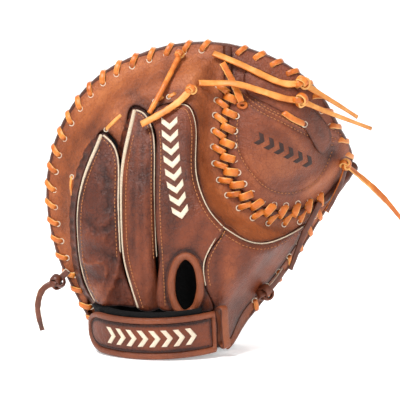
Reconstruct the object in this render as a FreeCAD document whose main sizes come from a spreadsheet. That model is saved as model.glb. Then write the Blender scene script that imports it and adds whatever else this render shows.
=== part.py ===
"""Baseball catcher's mitt, standing on its heel: palm, back shell, finger stalls, laced web, wrist strap.

Frame: millimetres, +Z up from the heel to the web, +Y out of the pocket, +X towards the thumb.
The catching face is a bowl y = bowl(x, z). Every leather, felt and lining piece is a layer of that
bowl, cut to its own outline in the XZ plane. The thumb half turns about the fold, a line that runs
from the heel up through the web.
"""
import FreeCAD, Part
import math
import os
from FreeCAD import Placement, Rotation, Vector

doc = FreeCAD.newDocument("catchers_mitt")

# ---------------------------------------------------------------- driving dimensions (mm, degrees)
DIMENSIONS = [
    ("pinky_rise", 45.0),       # how far the pinky edge stands forward of the fold
    ("pinky_reach", 175.0),
    ("thumb_rise", 78.0),       # how far the thumb edge stands forward of the fold
    ("thumb_reach", 80.0),
    ("heel_rise", 20.0),        # how far heel and web stand forward of the pocket's middle
    ("pocket_height", 150.0),
    ("leather", 2.4),
    ("lining", 1.5),
    ("clearance", 0.3),
    ("edge_stack", 6.6),        # front leather and felt, at a laced edge
    ("palm_stack", 24.0),       # front leather and felt, in the palm and heel
    ("web_stack", 11.0),        # and in the middle of the web
    ("edge_blend", 28.0),
    ("hand_room", 26.0),        # depth of the hand space at the wrist
    ("tip_room", 12.0),         # and at the fingertips
    ("fold_tilt", 20.0),
    ("fold_depth", 20.0),       # the fold lies this far behind the pocket's middle
    ("close_angle", 24.0),
    ("lace_width", 5.0),
    ("lace_thick", 2.2),
    ("lace_inset", 8.0),        # holes this far inside a laced edge
    ("rim_pitch", 17.0),
    ("web_pitch", 13.5),
    ("web_gap", 3.0),           # half the gap that the web lacing bridges
    ("strap_width", 38.0),
    ("strap_tilt", 7.0),
    ("knot_radius", 5.5),
]
sheet = doc.addObject("Spreadsheet::Sheet", "Sizes")
for row, (alias, value) in enumerate(DIMENSIONS, start=1):
    sheet.set("A%d" % row, alias)
    sheet.set("B%d" % row, str(value))
    sheet.setAlias("B%d" % row, alias)
doc.recompute()


def size(alias):
    return float(sheet.get(alias))


LEATHER = size("leather")
CLEAR = size("clearance")
TILT = math.radians(size("fold_tilt"))
FOLD_X = -5.0                                    # where the fold meets the floor
ALONG = Vector(math.sin(TILT), 0, math.cos(TILT))
ACROSS = Vector(math.cos(TILT), 0, -math.sin(TILT))
FOLD_POINT = Vector(FOLD_X, -size("fold_depth"), 0)

# ---------------------------------------------------------------- outlines in the XZ plane
# Outer edge of the mitt, from the pinky side of the heel, over the top, to the thumb side of the heel.
RIM = [(-106, 28), (-117, 49), (-130, 75), (-139, 106), (-143, 145), (-138, 178), (-120, 219),
       (-92, 250), (-55, 269), (0, 280), (56, 270), (87, 254), (112, 230), (131, 200), (145, 172),
       (144, 156), (125, 129), (94, 84), (64, 46), (40, 17), (20, -4), (-30, -8), (-75, -3), (-95, 12)]
# The U-shaped edge between the palm and the web, from the top down and round to the thumb tip.
WEB_EDGE = [(24, 292), (25, 237), (22, 205), (22, 174), (28, 155), (40, 139), (56, 128), (75, 123),
            (95, 124), (113, 130), (128, 142), (140, 155), (160, 175)]
PINKY_STALL = [(-88, 198), (-79, 191), (-73, 179), (-71.5, 162), (-72, 140), (-71, 113), (-69, 85),
               (-62, 60), (-57, 44), (-75, 44), (-93, 44), (-101, 54), (-109, 79), (-111, 102), (-111, 129),
               (-107, 150), (-101, 169), (-94, 187)]
RING_STALL = [(-58, 221), (-51, 218), (-45, 211), (-41, 201), (-39.5, 184), (-40, 158), (-39, 114),
              (-37, 70), (-36, 43), (-55.6, 43), (-61, 62), (-68, 85), (-70, 113), (-71, 140),
              (-69, 171), (-64, 197)]
HAND_BACK = [(-44, 214), (-18, 226), (-10, 224), (-4, 215), (-2, 200), (-2, 165), (3, 146), (12, 129),
             (22, 119), (12, 102), (4.5, 86), (6, 61), (12, 43), (-14, 41), (-35, 43), (-36.5, 80),
             (-38.5, 114), (-39.3, 158), (-38.7, 184), (-40, 202)]
THUMB_BACK = [(20, 119), (40, 106.5), (55, 102), (72, 102.5), (86, 106.5), (98, 111), (104, 109),
              (98, 101), (84, 84), (56, 50), (35, 25), (23, 9), (13, 20), (10, 43), (4, 61),
              (2, 86), (10, 102)]
PINKY_WALL = [(-94, 43), (-104, 54), (-112, 79), (-114, 102), (-114, 129), (-111, 152), (-105, 172),
              (-98, 190), (-89, 201), (-79, 195), (-73, 187)]
PINKY_DIVIDER = [(-57, 46), (-62.5, 63), (-69, 86), (-71, 113), (-72, 140), (-71.5, 175)]
RING_DIVIDER = [(-37, 46), (-37.5, 80), (-39, 114), (-40, 158), (-39.5, 190), (-42, 204)]
LINING = [(-86, 18), (-98, 40), (-107, 79), (-109, 120), (-105, 150), (-97, 175), (-87, 194),
          (-62, 205), (-50, 212), (-20, 220), (-6, 205), (-4, 165), (4, 140), (18, 112), (2, 60),
          (-14, 16), (-50, 14)]
THUMB_LINING = [(30, 110), (50, 92), (66, 82), (58, 62), (38, 36), (22, 22), (6, 14), (4, 40), (16, 80)]


def smooth(t):
    """0 below 0, 1 above 1, and an S-curve between."""
    t = max(0.0, min(1.0, t))
    return t * t * (3 - 2 * t)


def fold_coordinates(x, z):
    """Distance across the fold (positive on the thumb's side) and distance along it."""
    dx = x - FOLD_X
    return dx * ACROSS.x + z * ACROSS.z, dx * ALONG.x + z * ALONG.z


def curve(points, closed=False, y=0.0):
    spline = Part.BSplineCurve()
    spline.interpolate([Vector(x, y, z) for x, z in points], PeriodicFlag=closed)
    return spline


def sampled(points, closed, count):
    """Points (x, z) evenly spaced in parameter along the spline through the given ones."""
    spline = curve(points, closed)
    first, last = spline.FirstParameter, spline.LastParameter
    found = [spline.value(first + (last - first) * i / count) for i in range(count + (not closed))]
    return [(p.x, p.z) for p in found]


RIM_LINE = sampled(RIM, True, 160)
LACED_LINE = [(x, z) for x, z in RIM_LINE if z > 30]       # the heel has no lacing and stays thick
WEB_LINE = sampled(WEB_EDGE, False, 90)


def distance_to(line, x, z):
    return min(math.hypot(x - a, z - b) for a, b in line)


def in_web(x, z):
    """Whether the point lies on the web's side of the web line."""
    near = min(range(1, len(WEB_LINE) - 1), key=lambda i: math.hypot(x - WEB_LINE[i][0], z - WEB_LINE[i][1]))
    (ax, az), (bx, bz) = WEB_LINE[near - 1], WEB_LINE[near + 1]
    return (bx - ax) * (z - az) - (bz - az) * (x - ax) > 0


# ---------------------------------------------------------------- surfaces, each y as a function of x, z
def bowl(x, z):
    """The catching face."""
    across, along = fold_coordinates(x, z)
    middle = size("pocket_height")
    return (size("pinky_rise") * (min(across, 0.0) / size("pinky_reach")) ** 2
            + size("thumb_rise") * (max(across, 0.0) / size("thumb_reach")) ** 1.5
            + size("heel_rise") * ((along - middle) / middle) ** 2)


def palm_back(x, z):
    """Back of the felt: thin at every laced edge, thick in the palm."""
    edge = min(distance_to(LACED_LINE, x, z), distance_to(WEB_LINE, x, z))
    grow = smooth((edge - size("lace_inset")) / size("edge_blend"))
    middle = size("web_stack") if in_web(x, z) else size("palm_stack")
    return bowl(x, z) - size("edge_stack") - (middle - size("edge_stack")) * grow


def room(x, z):
    """Depth of the hand space behind the palm."""
    depth = size("hand_room") + (size("tip_room") - size("hand_room")) * smooth((z - 110) / 110)
    by_web = 0.0 if in_web(x, z) else smooth((distance_to(WEB_LINE, x, z) - 11) / 22)
    by_tips = smooth((246 - z) / 36)
    across = fold_coordinates(x, z)[0]
    by_thumb = smooth(distance_to(LACED_LINE, x, z) / 44) if across > -20 else 1.0
    by_heel = 1 - 0.5 * smooth((75 - z) / 40) * smooth((across + 30) / 25)
    return depth * by_web * by_tips * by_thumb * by_heel


def outer_back(x, z):
    """Inner face of the outer back leather: on the felt round the pinky side, raised beside the hand."""
    return palm_back(x, z) - room(x, z) * smooth((x + 60) / 45)


def hand_shell(x, z):
    """Inner face of the leather over the back of the hand and the thumb."""
    return palm_back(x, z) - room(x, z)


def stall(x_left, x_right, tip):
    """Inner face of a finger stall: the hand shell, crowned between its seams, low towards its tip."""
    def face(x, z):
        crown = math.sin(math.pi * max(0.0, min(1.0, (x - x_left) / (x_right - x_left))))
        depth = size("hand_room") + (size("tip_room") - size("hand_room")) * smooth((z - 110) / 110)
        closing = 0.3 + 0.7 * smooth((tip + 4 - z) / 40)
        return palm_back(x, z) - depth * (0.72 + 0.28 * crown) * closing
    return face


SURFACES = {}


def surface(name, face, x_range=(-165, 175), z_range=(-25, 300), step=17.0):
    """A document object holding the spline surface through a grid of points of face(x, z)."""
    if name not in SURFACES:
        columns = int((x_range[1] - x_range[0]) / step) + 1
        rows = int((z_range[1] - z_range[0]) / step) + 1
        grid = []
        for i in range(columns + 1):
            x = x_range[0] + (x_range[1] - x_range[0]) * i / columns
            grid.append([Vector(x, face(x, z_range[0] + (z_range[1] - z_range[0]) * j / rows),
                                z_range[0] + (z_range[1] - z_range[0]) * j / rows)
                         for j in range(rows + 1)])
        spline = Part.BSplineSurface()
        spline.interpolate(grid)
        item = doc.addObject("Part::Feature", "surface_" + name)
        item.Shape = spline.toShape()
        SURFACES[name] = item
    return SURFACES[name]


def layer(base, offset, thick, name):
    """A slab of even thickness behind a surface; offset and thick are expressions of the sheet."""
    item = doc.addObject("Part::Extrusion", name)
    item.Base = base
    item.DirMode = "Custom"
    item.Dir = Vector(0, -1, 0)
    item.Solid = True
    item.setExpression("LengthFwd", thick)
    item.setExpression("Placement.Base.y", offset)
    return item


def prism(wire_or_points, name, closed_curve=True):
    """The outline, extruded right through the mitt along Y."""
    if closed_curve:
        wire = Part.Wire(curve(wire_or_points, True, y=-150.0).toShape())
    else:
        wire = Part.makePolygon([Vector(x, -150.0, z) for x, z in wire_or_points + wire_or_points[:1]])
    return Part.Face(wire).extrude(Vector(0, 350, 0))


def strip(points, half):
    """A closed polygon that follows the spline through the points, half a strip's width each side."""
    line = sampled(points, False, 6 * (len(points) - 1))
    left, right = [], []
    for i, (x, z) in enumerate(line):
        a, b = line[max(i - 1, 0)], line[min(i + 1, len(line) - 1)]
        dx, dz = b[0] - a[0], b[1] - a[1]
        span = math.hypot(dx, dz)
        left.append((x - half * dz / span, z + half * dx / span))
        right.append((x + half * dz / span, z - half * dx / span))
    return left + right[::-1]


def inset(points, by):
    """The closed outline moved inwards; the points run clockwise as seen along +Y."""
    moved = []
    for i, (x, z) in enumerate(points):
        a, b = points[i - 1], points[(i + 1) % len(points)]
        dx, dz = b[0] - a[0], b[1] - a[1]
        span = math.hypot(dx, dz)
        moved.append((x + by * dz / span, z - by * dx / span))
    return moved


def web_notch(grow):
    """Prism of the opening that the web fills, its U moved outwards by grow."""
    edge = [(x, z) for x, z in strip(WEB_EDGE, abs(grow))]
    half = len(edge) // 2
    line = edge[:half] if grow < 0 else edge[half:][::-1]
    spline = curve(line[::3] + ([line[-1]] if (len(line) - 1) % 3 else []), y=-150.0)
    start, end = spline.StartPoint, spline.EndPoint
    corners = [end, Vector(230, -150, end.z), Vector(230, -150, 330), Vector(start.x, -150, 330), start]
    edges = [spline.toShape()] + [Part.makeLine(a, b) for a, b in zip(corners, corners[1:])]
    return Part.Face(Part.Wire(edges)).extrude(Vector(0, 350, 0))


def fold_region(side):
    """All the space on one side of the fold, less half of the wedge that closing needs."""
    lean = math.tan(math.radians(size("close_angle") / 2))
    front, back, far, gap = 260.0, -160.0, 400.0, 0.5 * CLEAR + 0.2
    corners = [(gap, back), (gap, 0.0), (gap + lean * front, front), (far, front), (far, back)]
    points = [FOLD_POINT + ACROSS * (side * a) + Vector(0, b, 0) - ALONG * 100 for a, b in corners]
    region = Part.Face(Part.makePolygon(points + points[:1])).extrude(ALONG * 520)
    above_floor = Part.makeBox(700, 700, 500, Vector(-350, -350, 0))
    return region.common(above_floor)


FINGER_SIDE = fold_region(-1)
THUMB_SIDE = fold_region(1)
PARTS = []


def largest(shape):
    """The solids of a boolean's result, without crumbs."""
    solids = [s for s in shape.Solids if s.Volume > 20.0]
    return solids[0] if len(solids) == 1 else Part.makeCompound(solids)


def piece(label, shape):
    item = doc.addObject("Part::Feature", label)
    item.Label = label
    item.Shape = shape
    PARTS.append(item)
    return item


def fold_halves(label, shape, less=None):
    """One node for each side of the fold, less what a neighbour takes."""
    for side, region in (("finger", FINGER_SIDE), ("thumb", THUMB_SIDE)):
        half = shape.common(region)
        if less is not None:
            half = half.cut(less)
        piece("%s_%s_side" % (label, side), largest(half))


# ---------------------------------------------------------------- lace holes and rings
def surface_frame(x, z, dx, dz):
    """Origin on the catching face, with axes outwards along the face, off the face, and across."""
    slope_x = (bowl(x + 1, z) - bowl(x - 1, z)) / 2
    slope_z = (bowl(x, z + 1) - bowl(x, z - 1)) / 2
    normal = Vector(-slope_x, 1, -slope_z).normalize()
    outward = Vector(dx, slope_x * dx + slope_z * dz, dz).normalize()
    side = outward.cross(normal)
    return Placement(Vector(x, bowl(x, z), z), Rotation(outward, normal, side, "XYZ")), normal.y


def box_in(frame, low, high):
    box = Part.makeBox(high[0] - low[0], high[1] - low[1], high[2] - low[2], Vector(*low))
    box.Placement = frame.multiply(box.Placement)
    return box


def lace_ring(frame, tall, inner, outer):
    """A closed loop of lace from inner to outer along the face, round a stack tall high."""
    half, thick, air = size("lace_width") / 2, size("lace_thick"), 0.7
    hollow = box_in(frame, (inner, -tall - air, -half - 1), (outer, air, half + 1))
    body = box_in(frame, (inner - thick, -tall - air - thick, -half), (outer + thick, air + thick, half))
    return body.cut(hollow)


def lace_slot(frame, at):
    half, thick = size("lace_width") / 2 + 0.6, size("lace_thick") + 0.9
    return box_in(frame, (at, -60, -half), (at + thick, 30, half))


def spaced(line, pitch, first, last):
    """Points pitch apart along a polyline, with their directions."""
    found, carried = [], pitch / 2
    for (ax, az), (bx, bz) in zip(line[first:last], line[first + 1:last + 1]):
        span = math.hypot(bx - ax, bz - az)
        while carried < span:
            t = carried / span
            found.append((ax + t * (bx - ax), az + t * (bz - az), (bx - ax) / span, (bz - az) / span))
            carried += pitch
        carried -= span
    return found


STACK = size("edge_stack") + LEATHER
rim_rings, web_rings, rim_slots, web_slots = [], [], [], []
air = 0.8
for x, z, tx, tz in spaced(RIM_LINE, size("rim_pitch"), 0, len(RIM_LINE) - 1):
    across = fold_coordinates(x, z)[0]
    near_web_corner = distance_to(WEB_LINE, x, z) < 11
    if z < 22 or abs(across) < 13 or near_web_corner:
        continue
    frame, cosine = surface_frame(x, z, -tz, tx)
    rim_rings.append((across, lace_ring(frame, STACK * cosine, -size("lace_inset"), air)))
    rim_slots.append(lace_slot(frame, -size("lace_inset") - size("lace_thick") - 0.45))
for x, z, tx, tz in spaced(WEB_LINE, size("web_pitch"), 8, len(WEB_LINE) - 9):
    across = fold_coordinates(x, z)[0]
    if abs(across) < 17 or distance_to(RIM_LINE, x, z) < 24:
        continue
    frame, cosine = surface_frame(x, z, tz, -tx)
    reach = size("web_gap") + size("lace_inset") - size("lace_thick")
    web_rings.append((across, lace_ring(frame, STACK * cosine, -reach, reach)))
    web_slots.append(lace_slot(frame, -reach - size("lace_thick") - 0.45))
    web_slots.append(lace_slot(frame, reach - 0.45))
SLOTS = Part.makeCompound(rim_slots + web_slots)

# ---------------------------------------------------------------- the palm
face_surface = surface("catching_face", bowl)
felt_surface = surface("felt_back", palm_back, step=12.0)
outer_surface = surface("outer_back", outer_back, step=12.0)
shell_surface = surface("hand_shell", hand_shell, step=12.0)
skin = layer(face_surface, "0", "Sizes.leather", "layer_palm_skin")
behind_skin = layer(face_surface, "-Sizes.leather - Sizes.clearance", "60", "layer_behind_skin")
before_back = layer(felt_surface, "60 + Sizes.clearance", "60", "layer_before_back")
lining = layer(felt_surface, "-Sizes.clearance", "Sizes.lining", "layer_lining")
outer_skin = layer(outer_surface, "-Sizes.clearance", "Sizes.leather", "layer_outer_back")
shell_skin = layer(shell_surface, "-Sizes.clearance", "Sizes.leather", "layer_hand_shell")
web_skin = layer(felt_surface, "-Sizes.clearance", "Sizes.leather", "layer_web_back")
band_skin = layer(felt_surface, "-Sizes.leather - 2*Sizes.clearance", "Sizes.leather", "layer_web_band")
doc.recompute()

rim_prism = prism(RIM, "rim").common(Part.makeBox(700, 700, 500, Vector(-350, -350, 1.2)))
HEEL_DROP = [(x, z - 20) if z < 13 else (x, z) for x, z in RIM]      # the pads run down to the floor
felt_prism = prism(inset(HEEL_DROP, size("lace_inset") + 4.5), "felt")
roll_prism = prism(HEEL_DROP, "roll").cut(prism(inset(HEEL_DROP, size("lace_inset") - 2.0), "roll_hole"))
palm_notch = web_notch(size("web_gap"))
felt_notch = web_notch(size("web_gap") + size("lace_inset") + 4.5)
web_prism = rim_prism.common(web_notch(-size("web_gap")))
web_felt_prism = felt_prism.common(web_notch(-size("web_gap") - size("lace_inset") - 4.5))
felt_slab = behind_skin.Shape.common(before_back.Shape)

palm_skin = skin.Shape.common(rim_prism).cut(palm_notch).cut(SLOTS)
fold_halves("palm_leather", palm_skin)
fold_halves("palm_felt", felt_slab.common(felt_prism).cut(felt_notch))
fold_halves("rim_roll", felt_slab.common(roll_prism).cut(palm_notch).cut(SLOTS))

# ---------------------------------------------------------------- the back
covered = [prism(inset(PINKY_STALL, -3.6), "pinky"), prism(inset(RING_STALL, -3.6), "ring"),
           prism(inset(HAND_BACK, -CLEAR), "hand"), prism(inset(THUMB_BACK, -CLEAR), "thumb")]
hand_below = Part.makeBox(128, 300, 46, Vector(-104, -150, -1))
outer_region = rim_prism.cut(palm_notch)
for shape in covered + [hand_below]:
    outer_region = outer_region.cut(shape)
fold_halves("outer_back_leather", outer_skin.Shape.common(outer_region).cut(SLOTS))
outer_room_layer = layer(outer_surface, "0", "Sizes.leather + 2*Sizes.clearance", "layer_outer_room")
doc.recompute()
outer_room = outer_room_layer.Shape.common(outer_region)
for label, outline, side in (("palm_lining", LINING, FINGER_SIDE), ("thumb_lining", THUMB_LINING, THUMB_SIDE)):
    piece(label, largest(lining.Shape.common(prism(outline, label)).common(side).cut(outer_room)))

HOLE_X, HOLE_Z, HOLE_HALF_WIDE, HOLE_HALF_TALL, BINDING = -12.5, 66.0, 8.5, 22.0, 6.0


def oval(grow):
    """Prism of the finger hole's oval, grown all round."""
    ellipse = Part.Ellipse(Vector(HOLE_X, -150, HOLE_Z + HOLE_HALF_TALL + grow),
                           Vector(HOLE_X + HOLE_HALF_WIDE + grow, -150, HOLE_Z),
                           Vector(HOLE_X, -150, HOLE_Z))
    return Part.Face(Part.Wire(ellipse.toShape())).extrude(Vector(0, 130, 0))


hand_back = shell_skin.Shape.common(prism(HAND_BACK, "hand_back")).cut(oval(BINDING + CLEAR))
piece("hand_back_leather", largest(hand_back.common(FINGER_SIDE)))
roll_slab = layer(shell_surface, "1.2", "6", "layer_finger_hole_roll")
doc.recompute()
binding = roll_slab.Shape.common(oval(BINDING)).cut(oval(0))
piece("finger_hole_binding", largest(binding))
hand_and_seam = prism(inset(HAND_BACK, -1.2 * CLEAR), "hand_and_seam")
fold_halves("thumb_back_leather", shell_skin.Shape.common(prism(THUMB_BACK, "thumb_back")), hand_and_seam)

STALLS = {"pinky": (PINKY_STALL, -111.0, -70.0, 198.0), "ring": (RING_STALL, -71.0, -38.0, 221.0)}
for name, (outline, x_left, x_right, tip) in STALLS.items():
    face = surface(name + "_stall", stall(x_left, x_right, tip), (-130, -20), (20, 250), 12.0)
    shell = layer(face, "-Sizes.clearance", "Sizes.leather", "layer_%s_stall" % name)
    doc.recompute()
    piece(name + "_stall_leather", largest(shell.Shape.common(prism(outline, name))))

inside = layer(SURFACES["pinky_stall"], "80", "80 - Sizes.clearance", "layer_inside_pinky_stall")
behind_palm = layer(felt_surface, "-Sizes.lining - 2*Sizes.clearance", "90", "layer_behind_palm")
doc.recompute()
gusset = inside.Shape.common(behind_palm.Shape).common(prism(strip(PINKY_WALL, 1.2), "wall", False))
piece("pinky_stall_gusset", largest(gusset.cut(outer_room)))

for name, line, face in (("pinky", PINKY_DIVIDER, "pinky_stall"), ("ring", RING_DIVIDER, "ring_stall")):
    inside = layer(SURFACES[face], "80", "78", "layer_divider_" + name)
    doc.recompute()
    divider = inside.Shape.common(behind_palm.Shape).common(prism(strip(line, 0.8), name, False))
    piece(name + "_finger_divider", largest(divider))

back_lining = layer(shell_surface, "Sizes.lining", "Sizes.lining", "layer_hand_back_lining")
doc.recompute()
hand_lining = back_lining.Shape.common(prism(inset(HAND_BACK, 6.0), "hand_lining")).common(FINGER_SIDE)
hand_lining = hand_lining.cut(oval(BINDING + CLEAR))
piece("hand_back_lining", max(hand_lining.Solids, key=lambda solid: solid.Volume))

# Welts: narrow raw-edged strips that stand on the seams.
WELTS = {
    "pinky_stall_welt": ("pinky_stall", [(-88, 196), (-94, 184), (-101, 167), (-107, 148), (-109.5, 129),
                                         (-109.5, 102), (-107.5, 80), (-99, 55)]),
    "ring_stall_welt": ("ring_stall", [(-58, 218), (-63, 197), (-68, 171), (-69.5, 140), (-68.5, 113),
                                       (-66.5, 85), (-60, 62), (-55, 46)]),
    "hand_back_piping": ("hand_shell", [(-18, 224), (-10, 222), (-5.5, 214), (-3.5, 200), (-3.5, 165),
                                        (1.5, 146), (10.5, 129), (19, 119)]),
}
for label, (face, points) in WELTS.items():
    rise = layer(SURFACES[face], "-Sizes.leather - 2*Sizes.clearance", "1.4", "layer_" + label)
    doc.recompute()
    piece(label, largest(rise.Shape.common(prism(strip(points, 1.1), label, False))))
thumb_piping = [(41, 105), (55, 100.5), (72, 101.5), (87, 106.5), (102, 118)]
rise = layer(shell_surface, "-Sizes.leather - 2*Sizes.clearance", "1.4", "layer_thumb_piping")
doc.recompute()
piece("thumb_piping", largest(rise.Shape.common(prism(strip(thumb_piping, 1.1), "piping", False))))
emblem_rise = layer(shell_surface, "-Sizes.leather - 2*Sizes.clearance", "0.8", "layer_hand_emblem")
doc.recompute()
hand_emblem = prism(strip([(-27, 208), (-24, 170), (-17, 132)], 6.0), "hand_emblem", False)
piece("hand_back_emblem", largest(emblem_rise.Shape.common(hand_emblem)))

# ---------------------------------------------------------------- the web
fold_halves("web_front_leather", skin.Shape.common(web_prism).cut(SLOTS))
fold_halves("web_back_leather", web_skin.Shape.common(web_prism).cut(SLOTS))
fold_halves("web_felt", felt_slab.common(web_felt_prism))
WEB_BAND = [(43, 256), (62, 252), (88, 237), (108, 215), (122, 190), (115, 178), (96, 200), (72, 218),
            (50, 229), (43, 233)]
fold_halves("web_top_band", band_skin.Shape.common(prism(WEB_BAND, "band")))

core_line = WEB_EDGE[1:-1]
fold_halves("web_core_strip", felt_slab.common(prism(strip(core_line, size("web_gap") - 0.9), "core", False)))

# ---------------------------------------------------------------- lacing
for label, rings in (("rim_lace", rim_rings), ("web_lace", web_rings)):
    for side, sign in (("finger", -1), ("thumb", 1)):
        chosen = [ring for across, ring in rings if across * sign > 0]
        piece("%s_%s_side" % (label, side), Part.makeCompound(chosen))

# ---------------------------------------------------------------- the wrist strap, a curved band
STRAP_CENTRE = Vector(-30, 21, 0)
STRAP_START, STRAP_END = 201.0, 306.0        # degrees in the strap's own plane, free end first
strap_place = Placement(Vector(0, 0, 27), Rotation(Vector(1, 0, 0), size("strap_tilt")).multiply(
    Rotation(Vector(0, 1, 0), -3)))


def band_body(label, radius, thick, width, base, start, end, rounded=0.0, own_node=True):
    """A band bent round the wrist: a ring-sector sketch, padded upwards, free end rounded."""
    body = doc.addObject("PartDesign::Body", label)
    body.Label = label
    plane = [f for f in body.Origin.OriginFeatures if f.Role == "XY_Plane"][0]
    sketch = body.newObject("Sketcher::SketchObject", label + "_section")
    sketch.AttachmentSupport = [(plane, "")]
    sketch.MapMode = "FlatFace"
    a, b = math.radians(start), math.radians(end)
    normal = Vector(0, 0, 1)
    for r in (radius, radius + thick):
        sketch.addGeometry(Part.ArcOfCircle(Part.Circle(STRAP_CENTRE, normal, r), a, b), False)
    for angle in (a, b):
        ray = Vector(math.cos(angle), math.sin(angle), 0)
        sketch.addGeometry(Part.LineSegment(STRAP_CENTRE + ray * radius,
                                            STRAP_CENTRE + ray * (radius + thick)), False)
    pad = body.newObject("PartDesign::Pad", label + "_pad")
    pad.Profile = sketch
    if isinstance(width, str):
        pad.setExpression("Length", width)
    else:
        pad.Length = width
    doc.recompute()
    if rounded:
        side = [f for f in body.Origin.OriginFeatures if f.Role == "XZ_Plane"][0]
        corners = body.newObject("Sketcher::SketchObject", label + "_corners")
        corners.AttachmentSupport = [(side, "")]
        corners.MapMode = "FlatFace"
        left = STRAP_CENTRE.x - radius - thick - 5
        x_round = STRAP_CENTRE.x + (radius + thick) * math.cos(a) + rounded
        tall = float(pad.Length)
        for low, turn in ((-1.0, 1), (tall + 1.0, -1)):
            z_round = low + turn * (rounded + 1.0)
            circle = Part.Circle(Vector(x_round, z_round, 0), normal, rounded)
            first, last = (math.pi, 1.5 * math.pi) if turn > 0 else (0.5 * math.pi, math.pi)
            corners.addGeometry(Part.ArcOfCircle(circle, first, last), False)
            loop = [(x_round - rounded, z_round), (left, z_round), (left, low), (x_round, low),
                    (x_round, z_round - turn * rounded)]
            for (ax, az), (bx, bz) in zip(loop, loop[1:]):
                corners.addGeometry(Part.LineSegment(Vector(ax, az, 0), Vector(bx, bz, 0)), False)
        pocket = body.newObject("PartDesign::Pocket", label + "_round_end")
        pocket.Profile = corners
        pocket.Type = 1
        pocket.Midplane = True
        doc.recompute()
    body.Placement = strap_place.multiply(Placement(Vector(0, 0, base), Rotation()))
    if own_node:
        PARTS.append(body)
    return body


band_body("strap_lining", 70.6, 2.1, "Sizes.strap_width - 4", -16.0, STRAP_START + 2, STRAP_END - 2, 15)
band_body("strap_leather", 73.0, 2.6, "Sizes.strap_width - 11", -12.5, STRAP_START + 4.4, STRAP_END - 4.4, 11.5)
binding = doc.addObject("Part::Cut", "strap_binding")
binding.Label = "strap_binding"
binding.Base = band_body("binding_outline", 73.0, 3.2, "Sizes.strap_width", -18.0, STRAP_START, STRAP_END,
                         17, own_node=False)
binding.Tool = band_body("binding_window", 72.2, 4.6, "Sizes.strap_width - 10.4", -12.2, STRAP_START + 4,
                         STRAP_END - 4, 12, own_node=False)
PARTS.append(binding)
band_body("strap_emblem", 75.7, 0.8, 10.0, -5.0, 232.0, 288.0)
band_body("hook_patch", 69.25, 1.25, 24.0, -11.0, 207.0, 232.0)
band_body("loop_patch", 67.65, 1.2, 24.0, -11.0, 205.0, 234.0)
band_body("wrist_band", 64.8, 2.7, "Sizes.strap_width - 8", -17.0, 188.0, 300.0)
band_body("strap_keeper", 73.5, 6.0, "Sizes.strap_width - 2", -14.0, 308.5, 314.5)


# ---------------------------------------------------------------- knots and lace tails
def knot(label, *centres):
    """One ball for each knot, of the size of an overhand knot in the lace."""
    balls = [Part.makeSphere(size("knot_radius"), Vector(*centre)) for centre in centres]
    piece(label, balls[0] if len(balls) == 1 else Part.makeCompound(balls))


def tail(label, route, diameter):
    """A lace's solid: straight runs joined by tangent arcs, as large as the shorter run allows."""
    points = [Vector(*p) for p in route]
    edges, radii, here = [], [], points[0]
    for a, b, c in zip(points, points[1:], points[2:]):
        into, out = (b - a).normalize(), (c - b).normalize()
        turn = into.getAngle(out)
        trim = 0.45 * min((b - a).Length, (c - b).Length)
        radius = trim / math.tan(turn / 2)
        start, end = b - into * trim, b + out * trim
        middle_way = (out - into).normalize()
        middle = b + middle_way * (radius / math.cos(turn / 2) - radius)
        edges += [Part.makeLine(here, start), Part.Arc(start, middle, end).toShape()]
        radii.append(radius)
        here = end
    edges.append(Part.makeLine(here, points[-1]))
    path = Part.Wire(edges)
    section = Part.Wire(Part.makeCircle(diameter / 2, points[0], points[1] - points[0]))
    solid = path.makePipeShell([section], True, True)
    expected = math.pi * diameter ** 2 / 4 * path.Length
    print("%s: length %.1f, volume %.0f of %.0f, radii %s"
          % (label, path.Length, solid.Volume, expected, [round(r, 1) for r in radii]))
    piece(label, solid)


UPPER_KNOT, LOWER_KNOT = (92, -4, 243.5), (90, -9.5, 228)
THUMB_KNOT, PINKY_KNOT, FINGER_BUTTON = (137, 55, 166), (-132, 24, 59), (-8, -20, 238)
HEEL_KNOT = (60, 14, 50)
ROUND_LACE, FLAT_LACE = 5.0, 4.2
tail("upper_web_lace", [(12, 5, 270), (32.5, 0, 262), (54, -6, 251.5), (76, -8, 241.5), UPPER_KNOT,
                        (111, 10, 232), (130, 24, 221), (146, 38, 211)], FLAT_LACE)
tail("lower_web_lace", [(-1, -11, 243.5), (14, -8, 243), (31, -11.5, 243.5), (56, -13, 236),
                        (76, -12.5, 229), LOWER_KNOT, (111, 7, 218.5), (136, 26, 209),
                        (160, 46, 200)], FLAT_LACE)
tail("web_edge_lace", [(20, -3, 261.5), (26, -3, 251), (32, -6.5, 239), (37, -9, 226.5)], FLAT_LACE)
tail("round_finger_lace", [(-19.5, 6, 266), (-25, -2, 255), (-33, -13, 239), (-40, -18, 226),
                           (-45, -21, 217)], ROUND_LACE)
tail("flat_finger_lace", [(-52, -24, 207), (-41, -26.5, 213), (-26, -26, 221.5), (-15, -22.5, 230),
                          FINGER_BUTTON], FLAT_LACE)
tail("thumb_lace", [THUMB_KNOT, (152, 69, 154), (169, 79, 139.5), (186, 88, 122), (200, 94, 104)], FLAT_LACE)
tail("thumb_edge_lace", [(136.5, 58, 160), (134, 57, 151), (129.5, 55, 140), (119, 48, 122)], FLAT_LACE)
tail("hanging_thumb_lace", [(112, 42, 131), (104.5, 37.5, 117), (95.5, 33, 101), (86.5, 29.5, 85),
                            (78.5, 25, 70), (69, 19, 59), HEEL_KNOT], FLAT_LACE)
tail("pinky_heel_lace", [(-122, 20, 70), PINKY_KNOT, (-146, 24, 54), (-151, 24, 40), (-150.5, 25, 26),
                         (-147, 28, 13)], FLAT_LACE)
knot("web_lace_knots", UPPER_KNOT, LOWER_KNOT)
knot("thumb_lace_knots", THUMB_KNOT, HEEL_KNOT)
knot("pinky_heel_lace_knot", PINKY_KNOT)
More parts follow.
